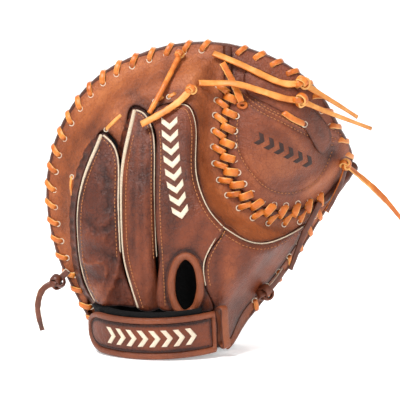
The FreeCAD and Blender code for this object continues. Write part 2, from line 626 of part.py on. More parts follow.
knot("finger_lace_button", FINGER_BUTTON)

# ---------------------------------------------------------------- check and write
doc.recompute()
for item in doc.Objects:
    if "Invalid" in item.State or "Error" in item.State:
        raise RuntimeError("%s failed: %s" % (item.Label, item.State))
os.makedirs("parts", exist_ok=True)
for old in os.listdir("parts"):
    os.remove(os.path.join("parts", old))
for item in PARTS:
    if item.Shape.isNull() or not item.Shape.isValid() or not item.Shape.Solids:
        raise RuntimeError("%s has no valid solid" % item.Label)
    item.Shape.exportStep(os.path.join("parts", item.Label + ".step"))
print("%d nodes" % len(PARTS))
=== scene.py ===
"""Baseball catcher's mitt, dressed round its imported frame: leather, padding, lacing, strap and knots.

Lengths are millimetres until a mesh is made. The camera, the studio and the laces' routes are in metres.
+Z goes up from the heel to the web, +Y out of the pocket, +X towards the thumb. The camera looks at the back.
"""
import math

import bmesh
import bpy
import numpy as np
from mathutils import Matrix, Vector, geometry


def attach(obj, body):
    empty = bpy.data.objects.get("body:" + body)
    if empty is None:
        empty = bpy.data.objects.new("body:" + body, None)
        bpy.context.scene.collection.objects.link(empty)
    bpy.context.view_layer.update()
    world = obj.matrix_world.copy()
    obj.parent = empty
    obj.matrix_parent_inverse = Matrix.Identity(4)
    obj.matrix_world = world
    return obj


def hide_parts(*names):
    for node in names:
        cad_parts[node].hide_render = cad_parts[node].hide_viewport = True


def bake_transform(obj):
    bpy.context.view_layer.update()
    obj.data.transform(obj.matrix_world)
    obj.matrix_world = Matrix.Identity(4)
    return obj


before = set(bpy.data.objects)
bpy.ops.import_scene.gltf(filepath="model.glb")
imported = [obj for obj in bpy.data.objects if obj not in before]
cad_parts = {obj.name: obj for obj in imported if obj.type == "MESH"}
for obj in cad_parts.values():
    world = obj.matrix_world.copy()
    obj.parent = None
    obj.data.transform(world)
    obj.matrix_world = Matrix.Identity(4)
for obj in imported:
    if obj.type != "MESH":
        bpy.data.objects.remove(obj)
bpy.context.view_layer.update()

MM = 0.001

# ================================================================ camera, light and floor
VIEW_TARGET = Vector((0.0, 0.020, 0.142))
VIEW_DISTANCE = 1.4
VIEW_ELEVATION = math.radians(5.0)
VIEW_LENS = 136.96
VIEW_SHIFT = -0.0175
WORLD_STRENGTH = 0.5
# name, place, aim, watts, width
LIGHTS = (("key", (-0.9, -1.2, 1.9), (0, 0, 0.14), 56, 0.6),
          ("fill", (1.6, -1.2, 1.0), (0, 0, 0.12), 9, 1.0),
          ("rear", (0.4, 1.8, 1.6), (0, 0, 0.15), 16, 1.4))
FLOOR_PROFILE = ((-4.0, 0.0), (2.2, 0.0), (2.9, 0.12), (3.3, 0.5), (3.5, 1.2), (3.5, 4.0))      # (y, z)
FLOOR_HALF_WIDTH = 5.0
FLOOR_PAINT = {"Base Color": (0.93, 0.93, 0.93, 1), "Roughness": 0.6, "Emission Color": (1.0, 1.0, 1.0, 1),
               "Emission Strength": 0.33}


def make_camera():
    data = bpy.data.cameras.new("camera")
    data.lens = VIEW_LENS
    data.shift_y = VIEW_SHIFT
    camera = bpy.data.objects.new("camera", data)
    bpy.context.collection.objects.link(camera)
    back = Vector((0, -math.cos(VIEW_ELEVATION), math.sin(VIEW_ELEVATION)))
    camera.location = VIEW_TARGET + back * VIEW_DISTANCE
    camera.rotation_euler = (math.pi / 2 - VIEW_ELEVATION, 0, 0)
    bpy.context.scene.camera = camera


def soft_light(name, place, aim, watts, wide):
    data = bpy.data.lights.new(name, "AREA")
    data.energy = watts
    data.size = wide
    lamp = bpy.data.objects.new(name, data)
    bpy.context.collection.objects.link(lamp)
    lamp.location = place
    lamp.rotation_euler = (Vector(aim) - Vector(place)).to_track_quat("-Z", "Y").to_euler()


def make_studio():
    world = bpy.data.worlds.new("studio")
    bpy.context.scene.world = world
    world.use_nodes = True
    sky = world.node_tree.nodes["Background"].inputs
    sky["Color"].default_value = (1.0, 1.0, 1.0, 1)
    sky["Strength"].default_value = WORLD_STRENGTH
    bpy.context.scene.view_settings.view_transform = "Standard"
    for light in LIGHTS:
        soft_light(*light)
    verts = [(x, y, z) for y, z in FLOOR_PROFILE for x in (-FLOOR_HALF_WIDTH, FLOOR_HALF_WIDTH)]
    faces = [(2 * i, 2 * i + 1, 2 * i + 3, 2 * i + 2) for i in range(len(FLOOR_PROFILE) - 1)]
    mesh = bpy.data.meshes.new("floor")
    mesh.from_pydata(verts, [], faces)
    floor = bpy.data.objects.new("floor", mesh)
    bpy.context.collection.objects.link(floor)
    paint = bpy.data.materials.new("floor")
    paint.use_nodes = True
    for key, value in FLOOR_PAINT.items():
        paint.node_tree.nodes["Principled BSDF"].inputs[key].default_value = value
    mesh.materials.append(paint)


make_camera()
make_studio()


# ================================================================ materials
def rgb(red, green, blue):
    """Linear colour from 0-255 display values."""
    return tuple(((c / 255 + 0.055) / 1.055) ** 2.4 for c in (red, green, blue)) + (1.0,)


PATCH_SCALE, FOLD_SCALE, FINE_SCALE, CREASE_SCALE, PEBBLE_SCALE = 16, 38, 95, 230, 620.0


class Shader:
    """A material's node tree, with short ways to add and join nodes."""

    def __init__(self, name):
        self.material = bpy.data.materials.new(name)
        self.material.use_nodes = True
        self.tree = self.material.node_tree
        self.surface = self.tree.nodes["Principled BSDF"]
        self.place = self.add("TexCoord").outputs["Object"]

    def add(self, kind, inputs=None, **settings):
        node = self.tree.nodes.new("ShaderNode" + kind)
        for key, value in settings.items():
            setattr(node, key, value)
        for key, value in (inputs or {}).items():
            if isinstance(value, bpy.types.NodeSocket):
                self.tree.links.new(value, node.inputs[key])
            else:
                node.inputs[key].default_value = value
        return node

    def noise(self, scale, detail=4.0, rough=0.55):
        return self.add("TexNoise", {"Vector": self.place, "Scale": scale, "Detail": detail,
                                     "Roughness": rough}).outputs["Fac"]

    def creases(self, scale):
        """Fine branching creases: 0 in a crease and 1 between them."""
        bend = self.add("TexNoise", {"Vector": self.place, "Scale": scale * 0.8,
                                     "Detail": 3.0}).outputs["Color"]
        away = self.add("VectorMath", {0: bend}, operation="SCALE")
        away.inputs["Scale"].default_value = 0.9 / scale
        bent = self.add("VectorMath", {0: self.place, 1: away.outputs[0]}, operation="ADD").outputs[0]
        cells = self.add("TexVoronoi", {"Vector": bent, "Scale": float(scale)}, feature="DISTANCE_TO_EDGE")
        return self.add("MapRange", {"Value": cells.outputs["Distance"], "From Min": 0.0, "From Max": 0.07},
                        interpolation_type="SMOOTHSTEP").outputs["Result"]

    def math(self, operation, a, b, c=None):
        node = self.add("Math", operation=operation)
        for i, value in enumerate((a, b, c)):
            if isinstance(value, bpy.types.NodeSocket):
                self.tree.links.new(value, node.inputs[i])
            elif value is not None:
                node.inputs[i].default_value = value
        return node.outputs[0]

    def ramp(self, value, *stops):
        node = self.add("ValToRGB", {"Fac": value})
        band = node.color_ramp
        while len(band.elements) < len(stops):
            band.elements.new(0.5)
        for element, (position, colour) in zip(band.elements, stops):
            element.position = position
            element.color = colour
        return node.outputs["Color"]

    def bump(self, height, strength, distance, under=None):
        node = self.add("Bump", {"Height": height, "Strength": strength, "Distance": distance})
        if under is not None:
            self.tree.links.new(under, node.inputs["Normal"])
        return node.outputs["Normal"]

    def finish(self, colour, roughness, normal, **constants):
        self.tree.links.new(colour, self.surface.inputs["Base Color"])
        self.tree.links.new(roughness, self.surface.inputs["Roughness"])
        self.tree.links.new(normal, self.surface.inputs["Normal"])
        for key, value in constants.items():
            self.surface.inputs[key.replace("_", " ")].default_value = value
        return self.material


def leather(name, dark, middle, light, gloss=0.42, grain=1.0, patchy=0.45):
    """Oiled leather: mottled colour, pebbled grain, painted shade in its folds and creases, and a per-point
    level of painted shade, painted highlight and wear.
    """
    s = Shader(name)
    shade_and_wear = s.add("Attribute", attribute_name="wear_and_shade").outputs["Fac"]
    broad = s.noise(PATCH_SCALE, 5, 0.6)
    fine = s.noise(FINE_SCALE, 5, 0.65)
    wrinkles = s.creases(CREASE_SCALE)
    folds = s.noise(FOLD_SCALE, 7, 0.72)
    # the per-point level: painted shade at seams, creases and edges, painted highlights on ridges and tops,
    # and some wear
    tone = s.math("MULTIPLY_ADD", s.math("SUBTRACT", broad, 0.5), patchy * 2, shade_and_wear)
    # painted shade: darker in the fine creases that the bump presses in
    tone = s.math("MULTIPLY_ADD", s.math("SUBTRACT", wrinkles, 0.8), 0.14 * grain, tone)
    # painted shade: darker where the soft folds that the bump draws are low
    tone = s.math("MULTIPLY_ADD", s.math("SUBTRACT", folds, 0.5), patchy * 1.1, tone)
    tone = s.math("MULTIPLY_ADD", s.math("SUBTRACT", fine, 0.5), patchy * 0.9, tone)
    colour = s.ramp(tone, (0.0, dark), (0.5, middle), (1.0, light))
    roughness = s.math("MULTIPLY_ADD", fine, 0.36, gloss - 0.2)
    pebbles = s.add("TexVoronoi", {"Vector": s.place, "Scale": PEBBLE_SCALE}).outputs["Distance"]
    soft = s.bump(folds, 0.75, 0.0042)
    lines = s.bump(wrinkles, 0.3 * grain, 0.0005, soft)
    normal = s.bump(pebbles, 0.35 * grain, 0.0005, lines)
    return s.finish(colour, roughness, normal, Specular_IOR_Level=0.36)


def lace_leather(name, dark, middle, light, gloss=0.4):
    """Cut lace leather: smooth and streaked."""
    s = Shader(name)
    broad = s.noise(60, 4, 0.6)
    colour = s.ramp(broad, (0.25, dark), (0.5, middle), (0.75, light))
    roughness = s.math("MULTIPLY_ADD", broad, 0.3, gloss - 0.15)
    normal = s.bump(s.noise(600, 5, 0.7), 0.4, 0.0004)
    return s.finish(colour, roughness, normal)


def fibres(name, dark, light, scale, depth, rough=0.9, sheen=0.2):
    """Felt, fleece, hook tape and raw edges: matt, with short fibres."""
    s = Shader(name)
    hairs = s.noise(scale, 8, 0.75)
    colour = s.ramp(hairs, (0.3, dark), (0.7, light))
    roughness = s.math("MULTIPLY_ADD", hairs, 0.1, rough - 0.08)
    return s.finish(colour, roughness, s.bump(hairs, 0.8, depth), Sheen_Weight=sheen,
                    Specular_IOR_Level=0.2)


def thread(name, dark, light, scale=900.0):
    """Twisted sewing or embroidery thread: fine ridges."""
    s = Shader(name)
    twist = s.add("TexWave", {"Vector": s.place, "Scale": scale, "Distortion": 1.5, "Detail": 1.0},
                  bands_direction="DIAGONAL").outputs["Fac"]
    patch = s.noise(200, 3)
    colour = s.ramp(s.math("MULTIPLY_ADD", patch, 0.6, s.math("MULTIPLY", twist, 0.4)),
                    (0.2, dark), (0.8, light))
    roughness = s.math("MULTIPLY_ADD", patch, 0.2, 0.5)
    return s.finish(colour, roughness, s.bump(twist, 0.5, 0.0003))


BACK = leather("back_leather", rgb(54, 20, 9), rgb(118, 55, 28), rgb(172, 94, 52), 0.38)
RIM_BACK = leather("rim_back_leather", rgb(78, 34, 16), rgb(146, 76, 38), rgb(196, 118, 66), 0.44)
WEB = leather("web_leather", rgb(60, 23, 11), rgb(122, 59, 32), rgb(174, 99, 59), 0.4)
DARK = leather("dark_leather", rgb(42, 14, 6), rgb(94, 40, 19), rgb(146, 74, 38), 0.44, 1.5, 0.5)
POCKET = leather("pocket_leather", rgb(84, 38, 20), rgb(150, 80, 42), rgb(192, 120, 70), 0.46)
BINDING = leather("binding_leather", rgb(80, 36, 20), rgb(134, 70, 40), rgb(172, 102, 62), 0.42, 0.6, 0.35)
ROLL = leather("rim_roll_leather", rgb(36, 14, 8), rgb(86, 40, 22), rgb(120, 62, 36), 0.4, 0.6, 0.4)
ORANGE = lace_leather("lace_face", rgb(158, 72, 16), rgb(204, 108, 32), rgb(232, 146, 56))
TAN = lace_leather("lace_edge", rgb(206, 138, 62), rgb(228, 168, 92), rgb(244, 198, 130), 0.6)
PALE_LACE = lace_leather("pale_lace", rgb(176, 98, 34), rgb(212, 136, 58), rgb(236, 172, 98), 0.45)
BROWN_LACE = lace_leather("brown_lace", rgb(58, 26, 15), rgb(94, 46, 27), rgb(126, 68, 42))
RAW_EDGE = fibres("raw_edge", rgb(176, 152, 126), rgb(232, 218, 198), 900, 0.0003)
CREAM = thread("cream_thread", rgb(206, 184, 156), rgb(244, 230, 208))
WELT = fibres("cream_welt", rgb(170, 144, 116), rgb(226, 210, 186), 700, 0.0004)
STITCH = thread("brown_thread", rgb(140, 76, 36), rgb(206, 136, 78))
DARK_STITCH = thread("dark_thread", rgb(30, 14, 10), rgb(66, 34, 24))
FELT = fibres("grey_felt", rgb(20, 19, 20), rgb(44, 42, 44), 500, 0.0010)
FLEECE = fibres("black_fleece", rgb(3, 3, 3), rgb(13, 13, 14), 320, 0.0030, sheen=0.02)
TAPE = fibres("black_tape", rgb(8, 8, 9), rgb(36, 36, 38), 1100, 0.0006)


# ================================================================ curves and distances
def spline(points, closed=False, step=2.0):
    """Points about step apart along the cubic spline through the given ones."""
    p = np.asarray(points, float)
    if closed:
        p = np.vstack([p, p[:1]])
    gap = np.linalg.norm(np.diff(p, axis=0), axis=1)
    slope = np.diff(p, axis=0) / gap[:, None]
    n = len(p)
    matrix, right = np.zeros((n, n)), np.zeros_like(p)
    for i in range(1, n - 1):
        matrix[i, i - 1:i + 2] = gap[i - 1], 2 * (gap[i - 1] + gap[i]), gap[i]
        right[i] = 6 * (slope[i] - slope[i - 1])
    if closed:
        matrix[0, 0], matrix[0, -1] = 1, -1
        matrix[-1, 0], matrix[-1, 1], matrix[-1, -2] = 2 * (gap[-1] + gap[0]), gap[0], gap[-1]
        right[-1] = 6 * (slope[0] - slope[-1])
    else:
        matrix[0, 0] = matrix[-1, -1] = 1
    bend = np.linalg.solve(matrix, right)
    knots = np.concatenate([[0], np.cumsum(gap)])
    t = np.linspace(0, knots[-1], max(2, int(round(knots[-1] / step))) + 1)
    if closed:
        t = t[:-1]
    i = np.clip(np.searchsorted(knots, t, "right") - 1, 0, n - 2)
    a = ((knots[i + 1] - t) / gap[i])[:, None]
    b = 1 - a
    curved = (a ** 3 - a) * bend[i] + (b ** 3 - b) * bend[i + 1]
    return a * p[i] + b * p[i + 1] + curved * gap[i][:, None] ** 2 / 6


def unit(v):
    return v / np.maximum(np.linalg.norm(v, axis=-1, keepdims=True), 1e-9)


def directions(line, closed=False):
    """Unit tangents of a line of points."""
    if closed:
        return unit(np.roll(line, -1, 0) - np.roll(line, 1, 0))
    return unit(np.gradient(line, axis=0))


def left_of(line, closed=False):
    """Unit normals to the left of a plane line: outwards, for the clockwise outlines used here."""
    t = directions(line, closed)
    return np.column_stack([-t[:, 1], t[:, 0]])


def grown(line, by):
    """A closed plane outline moved outwards."""
    return line + left_of(line, True) * by


def to_segments(p, a, b):
    """Distance of every point from the nearest of the segments a to b."""
    d = b - a
    span = np.maximum((d ** 2).sum(1), 1e-12)
    best = np.full(len(p), 1e9)
    for first in range(0, len(a), 64):
        part = slice(first, first + 64)
        t = np.clip(((p[:, None] - a[None, part]) * d[None, part]).sum(2) / span[None, part], 0, 1)
        away = p[:, None] - a[None, part] - t[:, :, None] * d[None, part]
        best = np.minimum(best, np.sqrt((away ** 2).sum(2)).min(1))
    return best


def distance(p, line, closed=False):
    ends = np.roll(line, -1, 0) if closed else line[1:]
    return to_segments(p, line if closed else line[:-1], ends)


def inside(p, polygon):
    """Whether each point is inside a closed polygon."""
    a, b = polygon, np.roll(polygon, -1, 0)
    x, z = p[:, :1], p[:, 1:]
    crosses = (a[None, :, 1] > z) != (b[None, :, 1] > z)
    rise = np.where(b[:, 1] == a[:, 1], 1e-12, b[:, 1] - a[:, 1])
    at = a[None, :, 0] + (z - a[None, :, 1]) * ((b[:, 0] - a[:, 0]) / rise)[None]
    return (crosses & (x < at)).sum(1) % 2 == 1


def region(outline, *cuts):
    """Outlines and keep test of what is inside the outline and outside every cut."""
    def keep(p):
        found = inside(p, outline)
        for cut in cuts:
            found &= ~inside(p, cut)
        return found
    return [outline, *cuts], keep


def shared(one, other):
    """Outlines and keep test of what is inside both outlines."""
    return [one, other], lambda p: inside(p, one) & inside(p, other)


def smooth(t):
    t = np.clip(t, 0, 1)
    return t * t * (3 - 2 * t)


LATTICE = np.random.RandomState(5).rand(61, 67)


def noise(p, cell, seed=0):
    """Smooth value noise from -1 to 1 over the plane."""
    q = p / cell + 17.3 * seed + 400
    i = np.floor(q).astype(int)
    f = smooth(q - i)
    u, v = i[:, 0], i[:, 1]

    def value(du, dv):
        return LATTICE[(u + du) % 61, (v + dv) % 67]
    low = value(0, 0) * (1 - f[:, 0]) + value(1, 0) * f[:, 0]
    high = value(0, 1) * (1 - f[:, 0]) + value(1, 1) * f[:, 0]
    return 2 * (low * (1 - f[:, 1]) + high * f[:, 1]) - 1


def crinkle(p, cell, seed=0):
    """Sharp-crested folds, 0 to 1."""
    bent = p + 0.7 * cell * np.column_stack([noise(p, cell * 1.7, seed + 1), noise(p, cell * 1.7, seed + 2)])
    return (1 - np.abs(noise(bent, cell, seed))) ** 3


# ================================================================ the mitt's outlines, (x, z)
FLOOR = 1.2
RIM = spline([(-106, 28), (-117, 49), (-130, 75), (-139, 106), (-143, 145), (-138, 178), (-120, 219),
              (-92, 250), (-55, 269), (0, 280), (56, 270), (87, 254), (112, 230), (131, 200), (145, 172),
              (144, 156), (125, 129), (94, 84), (64, 46), (40, 17), (20, -4), (-30, -8), (-75, -3),
              (-95, 12)], True)
WEB_EDGE = spline([(24, 292), (25, 237), (22, 205), (22, 174), (28, 155), (40, 139), (56, 128), (75, 123),
                   (95, 124), (113, 130), (128, 142), (140, 155), (160, 175)])
PINKY_STALL = spline([(-88, 198), (-79, 191), (-73, 179), (-71.5, 162), (-72, 140), (-71, 113), (-69, 85),
                      (-62, 60), (-57, 44), (-75, 44), (-93, 44), (-101, 54), (-109, 79), (-111, 102),
                      (-111, 129), (-107, 150), (-101, 169), (-94, 187)], True)
RING_STALL = spline([(-58, 221), (-51, 218), (-45, 211), (-41, 201), (-39.5, 184), (-40, 158), (-39, 114),
                     (-37, 70), (-36, 43), (-55.6, 43), (-61, 62), (-68, 85), (-70, 113), (-71, 140),
                     (-69, 171), (-64, 197)], True)
HAND_BACK = spline([(-44, 214), (-18, 226), (-10, 224), (-4, 215), (-2, 200), (-2, 165), (3, 146), (12, 129),
                    (22, 119), (12, 102), (4.5, 86), (6, 61), (12, 43), (-14, 41), (-35, 43), (-36.5, 80),
                    (-38.5, 114), (-39.3, 158), (-38.7, 184), (-40, 202)], True)
THUMB_BACK = spline([(20, 119), (40, 106.5), (55, 102), (72, 102.5), (86, 106.5), (98, 111), (104, 109),
                     (98, 101), (84, 84), (56, 50), (35, 25), (23, 9), (13, 20), (10, 43), (4, 61),
                     (2, 86), (10, 102)], True)
WEB_BAND = spline([(43, 256), (62, 252), (88, 237), (108, 215), (122, 190), (115, 178), (96, 200), (72, 218),
                   (50, 229), (43, 233)], True)
LACED = RIM[RIM[:, 1] > 30]
WEB_GAP = 3.0                  # half the gap between the web and the palm
LACE_INSET = 8.0               # of the lace holes from the edge
RIM_PITCH, WEB_PITCH = 17.0, 13.5
FAR = 330.0                    # beyond everything


def above_floor(outline):
    """The outline cut flat just above the floor."""
    cut = np.column_stack([outline[:, 0], np.maximum(outline[:, 1], FLOOR)])
    keep = np.linalg.norm(cut - np.roll(cut, 1, 0), axis=1) > 0.3
    return cut[keep]


def web_side(gap):
    """Polygon of the web's side of the web edge, moved by gap towards the web."""
    line = WEB_EDGE + left_of(WEB_EDGE) * gap
    return np.vstack([line, [(FAR, line[-1, 1]), (FAR, FAR), (line[0, 0], FAR)]])


FLAT_RIM = above_floor(RIM)
PALM_NOTCH = web_side(-WEB_GAP)
WEB_AREA = web_side(WEB_GAP)
WEB_HALF = web_side(0.0)

# ================================================================ the mitt's surfaces, y of (x, z)
TILT = math.radians(20.0)
ACROSS = np.array([math.cos(TILT), -math.sin(TILT)])
ALONG = np.array([math.sin(TILT), math.cos(TILT)])
FOLD_X, FOLD_Y = -5.0, -20.0
SKIN = 2.7                     # leather and the clearance under it
LEATHER, CLOTH = 2.4, 1.3      # thicknesses
BAND_LIFT = 5.2                # from the padding to the inside of the web's top band
EDGE_STACK, WEB_STACK, PALM_STACK = 6.6, 11.0, 24.0       # all layers together: laced edge, web, palm
FLAT_MARGIN, PAD_SLOPE = 8, 28                            # width of the laced edge, and of the rise behind it
FINGER_RISE, FINGER_REACH = 45, 175                       # the bowl's depth and half width, to each side
THUMB_RISE, THUMB_REACH = 78, 80
END_RISE, END_REACH = 20, 150
HEEL_DEPTH, TIP_DEPTH = 26, 12                            # room for the hand


def across_fold(p):
    return (p - (FOLD_X, 0)) @ ACROSS


def bowl(p):
    """The catching face: a bowl about the fold, steeper to the thumb."""
    a = across_fold(p)
    along = (p - (FOLD_X, 0)) @ ALONG
    return (FINGER_RISE * (np.minimum(a, 0) / FINGER_REACH) ** 2
            + THUMB_RISE * (np.maximum(a, 0) / THUMB_REACH) ** 1.5
            + END_RISE * ((along - END_REACH) / END_REACH) ** 2)


def palm_back(p):
    """The back of the padding: the bowl less the layers, which thin out to the laced edge."""
    edge = np.minimum(distance(p, LACED), distance(p, WEB_EDGE))
    stack = np.where(inside(p, WEB_HALF), WEB_STACK, PALM_STACK)
    return bowl(p) - EDGE_STACK - (stack - EDGE_STACK) * smooth((edge - FLAT_MARGIN) / PAD_SLOPE)


def hand_depth(p):
    return HEEL_DEPTH - (HEEL_DEPTH - TIP_DEPTH) * smooth((p[:, 1] - 110) / 110)


def room(p):
    """Depth of the hand space: none at the web, the finger tips and the thumb's rim."""
    by_web = np.where(inside(p, WEB_HALF), 0, smooth((distance(p, WEB_EDGE) - 11) / 22))
    by_tips = smooth((246 - p[:, 1]) / 36)
    a = across_fold(p)
    by_thumb = np.where(a > -20, smooth(distance(p, LACED) / 44), 1)
    by_heel = 1 - 0.5 * smooth((75 - p[:, 1]) / 40) * smooth((a + 30) / 25)
    return hand_depth(p) * by_web * by_tips * by_thumb * by_heel


def outer_back(p):
    """The back leather outside the stalls: flat at the fingers, with the hand under it at the thumb."""
    return palm_back(p) - room(p) * smooth((p[:, 0] + 60) / 45)


def hand_shell(p):
    return palm_back(p) - room(p)


def stall(left, right, tip):
    """The face of a finger stall: crowned between its sides, and lower towards its tip."""
    def face(p):
        crown = np.sin(np.pi * np.clip((p[:, 0] - left) / (right - left), 0, 1))
        closing = 0.3 + 0.7 * smooth((tip + 4 - p[:, 1]) / 40)
        return palm_back(p) - hand_depth(p) * (0.72 + 0.28 * crown) * closing
    return face


pinky_shell = stall(-111.0, -70.0, 198.0)
ring_shell = stall(-71.0, -38.0, 221.0)


def on_back(face, base=SKIN):
    """Places a plane point on the outside of the back: lift goes away from the hand, towards -Y."""
    def place(p, lift):
        return np.column_stack([p[:, 0], face(p) - base - lift, p[:, 1]])
    return place


def outside(face, proud=0.0):
    """The y of a leather's outer side, as a function of the plane point."""
    return lambda p: face(p) - SKIN - proud


def on_front(p, lift):
    """Places a plane point on the catching face: lift goes out of the pocket."""
    return np.column_stack([p[:, 0], bowl(p) + lift, p[:, 1]])


# ================================================================ mesh makers
def make(name, verts, faces, materials, which=None, wear_and_shade=None):
    """A smooth-shaded object from millimetre points."""
    mesh = bpy.data.meshes.new(name)
    mesh.from_pydata((np.asarray(verts) * MM).tolist(), [], [list(map(int, f)) for f in faces])
    for material in materials:
        mesh.materials.append(material)
    if which is not None:
        mesh.polygons.foreach_set("material_index", np.asarray(which, int))
    mesh.polygons.foreach_set("use_smooth", [True] * len(mesh.polygons))
    # per-point level of painted shade, painted highlight and wear, read by the leather materials
    level = np.full(len(verts), 0.5) if wear_and_shade is None else wear_and_shade
    mesh.attributes.new("wear_and_shade", "FLOAT", "POINT").data.foreach_set("value", np.asarray(level, np.float32))
    solid = bmesh.new()
    solid.from_mesh(mesh)
    bmesh.ops.recalc_face_normals(solid, faces=solid.faces)
    solid.to_mesh(mesh)
    solid.free()
    thing = bpy.data.objects.new(name, mesh)
    bpy.context.collection.objects.link(thing)
    return thing


RINGS = (0.5, 1.1, 2.0, 3.4)   # distances from an outline at which a sheet's mesh has rings of points


def flat_mesh(outlines, keep, step, extra):
    """Plane triangles filling what keep() accepts, with edges along the outlines."""
    corners, edges, inner = [], [], []
    for line in outlines:
        first = len(corners)
        corners += [tuple(q) for q in line]
        edges += [(first + i, first + (i + 1) % len(line)) for i in range(len(line))]
        for by in RINGS:
            inner += [line + left_of(line, True) * s * by for s in (1, -1)]
    starts = np.array([corners[a] for a, b in edges])
    ends = np.array([corners[b] for a, b in edges])
    rings = np.vstack(inner)
    reach = np.repeat(np.repeat(RINGS, 2)[None], len(outlines), 0).ravel()
    reach = np.concatenate([np.full(len(part), r) for part, r in zip(inner, reach)])
    rings = rings[keep(rings) & (to_segments(rings, starts, ends) > 0.85 * reach)]
    low, high = starts.min(0), starts.max(0)
    grid = np.stack(np.meshgrid(np.arange(low[0], high[0], step), np.arange(low[1], high[1], step)), -1)
    grid[::2, :, 0] += step / 2
    grid = np.vstack([grid.reshape(-1, 2)] + extra)
    grid = grid[keep(grid) & (to_segments(grid, starts, ends) > RINGS[-1] + 0.4 * step)]
    points = [Vector(q) for q in corners] + [Vector(q) for q in rings] + [Vector(q) for q in grid]
    found, _, triangles, *_ = geometry.delaunay_2d_cdt(points, edges, [], 0, 1e-3)
    p = np.array([tuple(v) for v in found])
    triangles = np.array(triangles)
    return p, triangles[keep(p[triangles].mean(1))]


SURFACE = {}                   # each sheet's outside, as a placing function
MOST_ROUNDING = 3.5
# painted shade: how much darker grooves and sheet edges are made, and how far the edge shade reaches
PAINTED_GROOVE_SHADE, PAINTED_EDGE_SHADE, PAINTED_EDGE_SHADE_WIDTH = 0.22, 0.28, 2.2


def sheet(name, outlines, keep, place, thick, material, step=3.0, puff=(0, 1), grooves=(), relief=None,
          wear_and_shade=None, rounding=0.45, edge=None):
    """A closed skin over a plane region: rounded edges, puffed, pressed in along its grooves.

    thick is a number or a function; puff is (height, width from the edge); a groove is (line, depth, width).
    """
    extra = []
    for line, depth, wide in grooves:
        side = left_of(line)
        extra += [line + side * s * wide for s in (-2, -1, 0, 1, 2)]
    p, triangles = flat_mesh(outlines, keep, step, extra)
    used, triangles = np.unique(triangles, return_inverse=True)
    triangles = triangles.reshape(-1, 3)
    p = p[used]
    sides = np.sort(np.vstack([triangles[:, [0, 1]], triangles[:, [1, 2]], triangles[:, [2, 0]]]), axis=1)
    pairs, counts = np.unique(sides, axis=0, return_counts=True)
    border = pairs[counts == 1]
    starts, ends = p[border[:, 0]], p[border[:, 1]]
    d = to_segments(p, starts, ends)
    deep = thick(p) if callable(thick) else np.full(len(p), float(thick))
    turn = np.minimum(rounding * deep, MOST_ROUNDING)
    drop = turn - np.sqrt(np.maximum(turn ** 2 - np.maximum(turn - d, 0) ** 2, 0))

    def rise(q):
        edge_way = to_segments(q, starts, ends)
        lift = puff[0] * np.sqrt(1 - (1 - np.clip(edge_way / puff[1], 0, 1)) ** 2)
        for line, depth, wide in grooves:
            lift = lift - depth * np.exp(-(distance(q, line) / wide) ** 2)
        return lift if relief is None else lift + relief(q) * smooth(edge_way / 3)
    SURFACE[name] = lambda q, up: place(q, rise(q) + up)
    lift = rise(p)
    n = len(p)
    verts = np.vstack([place(p, lift - drop), place(p, np.minimum(lift, 0) - deep + drop)])
    faces = [tuple(t) for t in triangles] + [tuple(t + n) for t in triangles]
    faces += [(a, b, b + n, a + n) for a, b in border]
    which = [0] * (2 * len(triangles)) + [0 if edge is None else 1] * len(border)
    level = np.full(n, 0.5) if wear_and_shade is None else wear_and_shade(p)
    # painted shade in pressed grooves and painted highlight on raised ridges, then painted shade along every
    # edge
    for line, depth, wide in grooves:
        level = level - PAINTED_GROOVE_SHADE * np.sign(depth) * np.exp(-(distance(p, line) / (1.3 * wide)) ** 2)
    level = level - PAINTED_EDGE_SHADE * np.exp(-(d / PAINTED_EDGE_SHADE_WIDTH) ** 2)
    materials = [material] if edge is None else [material, edge]
    return make(name, verts, faces, materials, which, np.tile(level, 2))


def sweep(path, normal, section, closed=False, scale=None):
    """Points and faces of a section (side, normal) carried along a path, with capped ends."""
    tangent = directions(path, closed)
    side = unit(np.cross(tangent, normal))
    up = np.cross(side, tangent)
    n, k = len(path), len(section)
    size = np.ones(n) if scale is None else scale
    section = np.asarray(section, float)
    verts = (path[:, None] + side[:, None] * section[None, :, :1] * size[:, None, None]
             + up[:, None] * section[None, :, 1:] * size[:, None, None]).reshape(-1, 3)
    faces, which = [], []
    for i in range(n if closed else n - 1):
        a, b = i * k, (i + 1) % n * k
        for j in range(k):
            faces.append((a + j, a + (j + 1) % k, b + (j + 1) % k, b + j))
            which.append(j)
    if not closed:
        faces += [tuple(range(k))[::-1], tuple(range((n - 1) * k, n * k))]
        which += [-1, -1]
    return verts, faces, which


def joined(name, shapes, materials, choose=None):
    """One object from several (points, faces, strips); choose gives a strip's material."""
    verts, faces, which, start = [], [], [], 0
    for points, polygons, strips in shapes:
        verts.append(points)
        faces += [tuple(start + i for i in f) for f in polygons]
        which += [choose(j) if choose else 0 for j in strips]
        start += len(points)
    return make(name, np.vstack(verts), faces, materials, which)


def oval(half_wide, half_tall, count=12):
    turn = np.arange(count) * 2 * math.pi / count
    return np.column_stack([half_wide * np.cos(turn), half_tall * np.sin(turn)])


def lace_section(wide, thick):
    """A flat lace with crowned faces."""
    w, t = wide / 2, thick / 2
    return np.array([(-w, 0.5 * t), (-w, -0.5 * t), (-0.88 * w, -t), (-0.35 * w, -1.3 * t),
                     (0.35 * w, -1.3 * t),
                     (0.88 * w, -t), (w, -0.5 * t), (w, 0.5 * t), (0.88 * w, t), (0.35 * w, 1.3 * t),
                     (-0.35 * w, 1.3 * t), (-0.88 * w, t)])


LACE_EDGES = (-1, 0, 1, 5, 6, 7, 11)


def lace_material(strip):
    """1 for the cut edges and ends of a lace, 0 for its faces."""
    return int(strip in LACE_EDGES)


